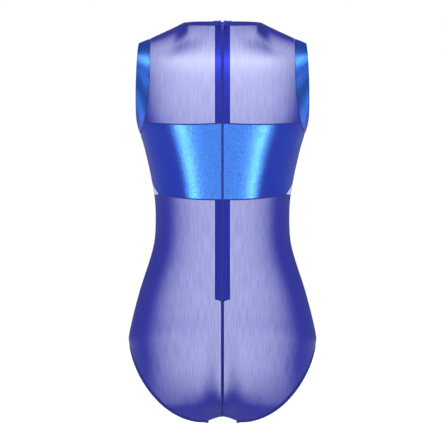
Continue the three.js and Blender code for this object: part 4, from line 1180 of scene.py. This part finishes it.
@dataclass
class FoilBand:
    """The metallic band round the ribs, in two back halves and one front, with its dark seams."""

    tailor: Tailor
    wall: float = 0.6
    lift: float = -0.15
    columns: int = 64
    corner: int = 48  # the column on the band's corner
    rows: int = 36
    seam_width: float = 2.0
    seam_wall: float = 0.7
    seam_bulge: float = 0.35
    seam_rise: float = 0.2

    def half(self, face: Face, left_x: Edge, left: float, rise: float) -> Array:
        """Points of the right half of one face of the band."""
        form = self.tailor.form
        start = float(form.turn_of(left, form.band_top / 2))
        corner = (form.band_end_turn - start) / (1 - start)
        shares = np.concatenate([span(self.corner, 0, corner), span(self.columns - self.corner, corner, 1)[1:]])
        return surface(partial(form.band, face, left_x, rise), shares, span(self.rows))

    def build(self) -> None:
        """Builds the band and the seams along its edges."""
        form = self.tailor.form
        back = self.half(Face.BACK, form.zip_edge_x, form.zip_edge, form.band_end_rise)
        front = both_halves(self.half(Face.FRONT, on_centre, 0.0, form.band_corner_rise))
        past = self.columns - self.corner - 1
        for side in (*Side, None):
            ending = f"_{side.word}" if side else ""
            name = f"band{ending}" if side else "front_band_foil"
            nodes = (f"back_band{ending}", f"back_band_flap{ending}") if side else ("front_band",)
            grid = Grid(back).on(side) if side else Grid(front)
            self.tailor.sew(name, grid, self.wall, "foil", "foil_fabric", *nodes, side=side, lift=self.lift)
            top = grid.points[-1][:self.corner + 1] if side else grid.points[-1][past:-past]
            prefix = "band_seam" if side else "front_band_seam"
            for edge, line in (("top", top), ("bottom", grid.points[0])):
                self.seam(f"{prefix}_{edge}{ending}", line, side)

    def seam(self, name: str, line: Array, side: Side | None) -> None:
        """A narrow raised seam that covers one edge of the band."""
        shares = span(4, -1, 1)
        grid = Grid(np.stack([line + np.array([0, 0, self.seam_width / 2]) * w for w in shares], 0))
        bulge = (1 - shares**2)[:, None, None] * self.seam_bulge
        grid.points = grid.points + grid.normals() * (bulge + self.seam_rise)
        self.tailor.sew(name, grid, self.seam_wall, "thread", "seam_thread", side=side)


@dataclass
class Bindings:
    """The metallic armhole bindings and the narrow neck binding."""

    tailor: Tailor
    arm_steps: int = 150
    arm_columns: int = 12
    wall: float = 1.0
    stitch_lift: float = 0.1
    neck_columns: int = 6
    neck_steps: int = 60
    neck_wall: float = 1.6
    neck_lift: float = -0.6
    neck_over: float = 1.22  # the binding laps over the mesh's raw edge by this share

    def build(self) -> None:
        """Builds the bindings and their stitches."""
        form = self.tailor.form
        turns = np.meshgrid(span(self.arm_steps)[:-1], span(self.arm_columns), indexing="ij")
        arm = Grid(form.arm_loop(*turns), closed=True, centre=(form.arm_top_in * 0.4, form.arm_bottom_z + 55))
        for side in Side:
            grid = arm.on(side)
            self.tailor.sew(f"arm_binding_{side.word}", grid, self.wall, "foil_trim", "foil_fabric",
                            f"armhole_binding_{side.word}")
            for k, column in enumerate((1, self.arm_columns - 1)):
                out = grid.normals()[:, column]
                line = grid.points[:, column] + out * self.stitch_lift
                self.tailor.stitch(f"arm_stitches_{k}_{side.word}", close_loop(line), close_loop(out))
        self.neck()

    def neck(self) -> None:
        """Builds the neck binding: two back halves that end at the zip, and the front."""
        form = self.tailor.form
        w = span(self.neck_columns)
        start = np.arcsin((form.zip_edge + form.top_flare) / (form.neck_half + w * form.neck_binding))
        back = lerp(start[None, :], math.pi / 2, span(self.neck_steps)[:, None])
        front = span(2 * self.neck_steps, math.pi / 2, math.pi * 3 / 2)[:, None] + 1e-5 + 0 * w
        for side in (*Side, None):
            angle = back if side else front
            ring = form.neck_ring(angle, np.broadcast_to(w, angle.shape) * self.neck_over)
            grid = Grid(ring, centre=(0.0, form.neck_top_z - 60)).on(side or Side.RIGHT)
            self.tailor.sew(f"neck_binding_back_{side.word}" if side else "neck_binding_front", grid, self.neck_wall,
                            "binding", "binding_tape", f"neck_binding_flap_{side.word}" if side else "neck_binding",
                            side=side, lift=self.neck_lift)


@dataclass
class LegEdges:
    """The leg hems with the elastic inside them."""

    tailor: Tailor
    steps: int = 180
    columns: int = 6
    wall: float = 1.8
    lift: float = -0.4
    bulge: float = 0.5
    inset: float = 1.2
    elastic_wall: float = 0.8
    elastic_lift: float = 2.45

    def build(self) -> None:
        """Builds a hem and its elastic round each leg."""
        form = self.tailor.form
        t, w = span(self.steps)[:-1], span(self.columns)
        _, out, _ = form.leg_frame(t)
        for name, low, bulge, lift, wall, use, slot in (
            ("hem", 0.0, self.bulge, self.lift, self.wall, "binding", "binding_tape"),
            ("elastic", self.inset, 0.0, self.elastic_lift, self.elastic_wall, "elastic", "elastic"),
        ):
            points = np.stack([form.leg_inset(t, lerp(low, form.hem - low, k) + 0 * t) for k in w], 1)
            points = points + out[:, None, :] * (bulge * np.sin(w * math.pi))[None, :, None]
            for side in Side:
                grid = Grid(points, closed=True, centre=(0.0, form.hip_z)).on(side)
                self.tailor.sew(f"leg_{name}_cloth_{side.word}", grid, wall, use, slot, f"leg_{name}_{side.word}",
                                lift=lift)


@dataclass
class Seams:
    """The overlocked seam allowances inside the fabric, with zigzag stitches on them."""

    tailor: Tailor
    width: float = 5.0
    wall: float = 0.7
    lift: float = 0.5
    shoulder_lift: float = 1.2
    stitch_lift: float = 0.15

    def build(self) -> None:
        """Builds the centre back, side and shoulder seams."""
        form = self.tailor.form
        z = lerp(form.zip_bottom - 3, form.crotch_z + 2, span(60))
        across, along = np.array([1.0, 0, 0]), np.array([0, 1.0, 0])
        self.strip("centre_seam", form.on_face(Face.BACK, 0 * z, z), across, "centre_back_seam", self.lift)
        z = lerp(form.arm_bottom_z - 4, form.side_leg_z + form.hem + 3, span(80))
        x = lerp(form.neck_half + form.neck_binding + 1, form.arm_top_in - 1, span(24))
        lines = (
            ("side_seam_tape", np.stack([form.half_width(z), 0 * z, z], -1), "side_seam", self.lift),
            ("shoulder_tape", np.stack([x, 0 * x, form.shoulder_z(x)], -1), "shoulder_seam", self.shoulder_lift),
        )
        for side in Side:
            for name, line, node, lift in lines:
                line = line * np.array([side.value, 1.0, 1.0])
                self.strip(f"{name}_{side.word}", line, along, f"{node}_{side.word}", lift)

    def strip(self, name: str, line: Array, across: Array, node: str, lift: float) -> None:
        """One seam: a flat strip inside the fabric and a zigzag over it outside."""
        points = np.stack([line + across * (w - 0.5) * self.width for w in span(4)], 0)
        grid = Grid(points, centre=(0.0, float(line[:, 2].mean())))
        self.tailor.sew(name, grid, self.wall, "thread", "seam_thread", node, lift=lift)
        out = grid.normals()[2]
        self.tailor.stitch(f"{name}_stitches", line + out * self.stitch_lift, out, spacing=1.5, length=2.6, zigzag=0.9)


@dataclass
class BackZip:
    """The long coil zip: two woven tapes, two rows of coil, the stops, the slider and its puller."""

    tailor: Tailor
    tape_width: float = 12.5
    tape_wall: float = 0.5
    tape_lift: float = 1.35
    tape_end: float = 1.6  # the tape ends this much below the zip's top
    flare_in: float = 2.0
    flare_out: float = 3.2
    fold_width: float = 1.8
    fold_in: float = 0.72
    fold_wall: float = 0.6
    fold_rise: float = 0.25
    fold_bulge: float = 0.3
    coil_pitch: float = 1.35
    coil_width: float = 1.9
    coil_depth: float = 1.8
    coil_gap: float = -0.03  # the closed tapes leave no slit
    coil_back: float = 0.3
    coil_in: float = 0.15
    loop_width: float = 0.85  # shares of the coil's room
    loop_depth: float = 0.9

    def build(self) -> None:
        """Builds the zip's soft pieces and dresses its metal ones."""
        form = self.tailor.form
        z = lerp(form.zip_bottom, form.zip_top - self.tape_end, span(150))
        inner = self.coil_gap + self.flare_in * smooth(form.neck_top_z - 7, form.neck_top_z, z)
        outer = self.tape_width + self.flare_out * smooth(form.neck_top_z - 14, form.zip_top, z)
        tape = self.strip(z, inner, outer, span(8))
        z = lerp(form.zip_bottom, form.neck_top_z - form.neck_seam, span(160))
        edge, shares = form.zip_edge_x(z) - self.fold_in, span(4)
        fold = self.strip(z, edge, edge + self.fold_width, shares)
        fold[..., 1] -= self.fold_rise + self.fold_bulge * np.sin(shares * math.pi)[None, :]
        for side in Side:
            word = side.word
            self.tailor.sew(f"zip_tape_cloth_{word}", Grid(tape).on(side), self.tape_wall, "tape", "zip_tape",
                            f"zip_tape_{word}", side=side, lift=self.tape_lift)
            self.tailor.sew(f"zip_fold_{word}", Grid(fold).on(side), self.fold_wall, "thread", "seam_thread",
                            side=side)
            self.coil(side)
            self.dress(f"zip_top_stop_{word}")
        for node in ("zip_bottom_stop", "zip_slider", "zip_puller"):
            self.dress(node)

    def strip(self, z: Array, inner: Array, outer: Array, shares: Array) -> Array:
        """Points of a strip of the back between two lines along the zip."""
        x = inner[:, None] + (outer - inner)[:, None] * shares[None, :]
        return self.tailor.form.on_face(Face.BACK, x, np.broadcast_to(z[:, None], x.shape))

    def coil(self, side: Side) -> None:
        """One row of coil, between the stops, behind the tape's edge."""
        low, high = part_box(f"zip_coil_{side.word}")
        z = span(200, low.z / MM + 1, high.z / MM - 1)
        inside = self.tape_lift + self.tape_wall + self.coil_back + self.coil_depth / 2
        x = side.value * (self.coil_in + self.coil_width / 2) + 0 * z
        line = np.stack([x, -self.tailor.form.zip_depth(z) + inside, z], -1)
        out = np.tile([0.0, -1.0, 0.0], (len(z), 1))
        row = self.tailor.coils.apply(f"coil_row_{side.word}", line, out, self.tailor.wardrobe["nylon"],
                                      Spacing=self.coil_pitch * MM, Width=self.coil_width * self.loop_width * MM,
                                      Depth=self.coil_depth * self.loop_depth * MM)
        self.tailor.join(row, side, "zip_nylon", f"zip_coil_{side.word}")

    def dress(self, node: str) -> bpy.types.Object:
        """Gives a metal part, that keeps its own shape, its material."""
        part = frame["nodes"][node]
        part.data.materials.clear()
        part.data.materials.append(self.tailor.wardrobe["metal"])
        return part


@dataclass
class Studio:
    """A pale floor, soft lights and a long-lens camera straight behind the garment's back, in metres."""

    frame_width: float = 0.734
    distance: float = 6.0
    eye_z: float = -0.0058
    sensor: float = 36.0
    floor_drop: float = 0.06
    floor_radius: float = 5.0
    floor_colour: str = "#FBFBFD"
    panel_colour: str = "#F2F4FF"
    strip: tuple[float, float, float] = (1.12, -2.0, 0.05)

    def build(self) -> None:
        """Builds the floor, the lights, the world and the camera."""
        scene = bpy.context.scene
        scene.view_settings.view_transform = "Standard"
        self.floor()
        self.light("top_softbox", (0.0, -1.3, 1.7), (0.0, 0.0, 0.22), (1.2, 0.6), 14.0)
        x, y, z = self.strip
        for name, turn in (("left_strip", -1), ("right_strip", 1)):
            self.light(name, (turn * x, y, z), (0.0, 0.0, z), (0.24, 1.9), 11.0)
        self.world(scene)
        camera = bpy.data.cameras.new("camera")
        camera.sensor_width = self.sensor
        camera.lens = self.sensor * self.distance / self.frame_width
        scene.camera = self.place("camera", camera, (0.0, -self.distance, self.eye_z), (math.pi / 2, 0, 0))

    def place(self, name: str, data: bpy.types.ID, at: tuple[float, float, float],
              turn: Sequence[float]) -> bpy.types.Object:
        """Links a lamp or a camera at a place."""
        thing = bpy.data.objects.new(name, data)
        thing.location, thing.rotation_euler = at, turn
        bpy.context.scene.collection.objects.link(thing)
        return thing

    def floor(self) -> None:
        """A large pale disc under the garment."""
        turn = span(96, 0, 2 * math.pi)[:-1]
        rim = np.stack([np.cos(turn), np.sin(turn), 0 * turn], -1) * self.floor_radius
        rim[:, 2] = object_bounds()[0].z - self.floor_drop
        mesh = bpy.data.meshes.new("floor")
        mesh.from_pydata(rim.tolist(), [], [list(range(len(rim)))])

        def paint(nodes: Nodes) -> Socket:
            """Returns: matt paint, a little uneven."""
            rough = nodes.maths("ADD", nodes.maths("MULTIPLY", nodes.noise(nodes.place(), 6.0, 2.0), 0.1), 0.85)
            return nodes.body(Base_Color=srgb(self.floor_colour), Roughness=rough, Specular_IOR_Level=0.1)

        make_object("floor", mesh, finish("painted_studio_floor", paint))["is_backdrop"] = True

    def light(self, name: str, at: tuple[float, float, float], aim: tuple[float, float, float],
              size: tuple[float, float], power: float) -> None:
        """A rectangular softbox at a place, aimed at a point."""
        lamp = bpy.data.lights.new(name, "AREA")
        lamp.shape, lamp.size, lamp.size_y, lamp.energy = "RECTANGLE", size[0], size[1], power
        self.place(name, lamp, at, (Vector(aim) - Vector(at)).to_track_quat("-Z", "Y").to_euler())

    def world(self, scene: bpy.types.Scene) -> None:
        """A white backdrop, with dimmer walls for what the cloth reflects."""
        world = bpy.data.worlds.new("studio")
        world.use_nodes = True
        world.node_tree.nodes.clear()
        nodes = Nodes(world.node_tree)
        ray = nodes.add("LightPath").outputs
        way = nodes.add("SeparateXYZ", Vector=nodes.out("TexCoord", "Generated")).outputs
        sky = nodes.out("MapRange", Value=way["Z"], From_Min=-0.2, From_Max=1.0, To_Min=0.86, To_Max=1.35)
        front = nodes.out("MapRange", 0, {"interpolation_type": "SMOOTHSTEP"}, Value=way["Y"], From_Min=-0.74,
                          From_Max=-0.95, To_Min=0.16, To_Max=0.92)
        soft, panels, white = (nodes.out("Background", Color=colour, Strength=strength) for colour, strength in (
            (srgb("#FFFFFF"), sky), (srgb(self.panel_colour), front), (srgb("#FFFFFF"), 1.0)))
        mixed = nodes.blend(ray["Is Glossy Ray"], soft, panels)
        nodes.add("OutputWorld", Surface=nodes.blend(ray["Is Camera Ray"], mixed, white))
        scene.world = world


def main() -> None:
    """Builds the leotard, sub-assembly by sub-assembly."""
    logging.basicConfig(level=logging.INFO, format="%(name)s: %(message)s")
    tailor = Tailor(Form(), Wardrobe())
    Studio().build()
    for kind in (MeshPanels, FoilBand, Bindings, LegEdges, Seams, BackZip):
        log.info("building %s", kind.__name__)
        kind(tailor).build()


if __name__ == "__main__":
    main()
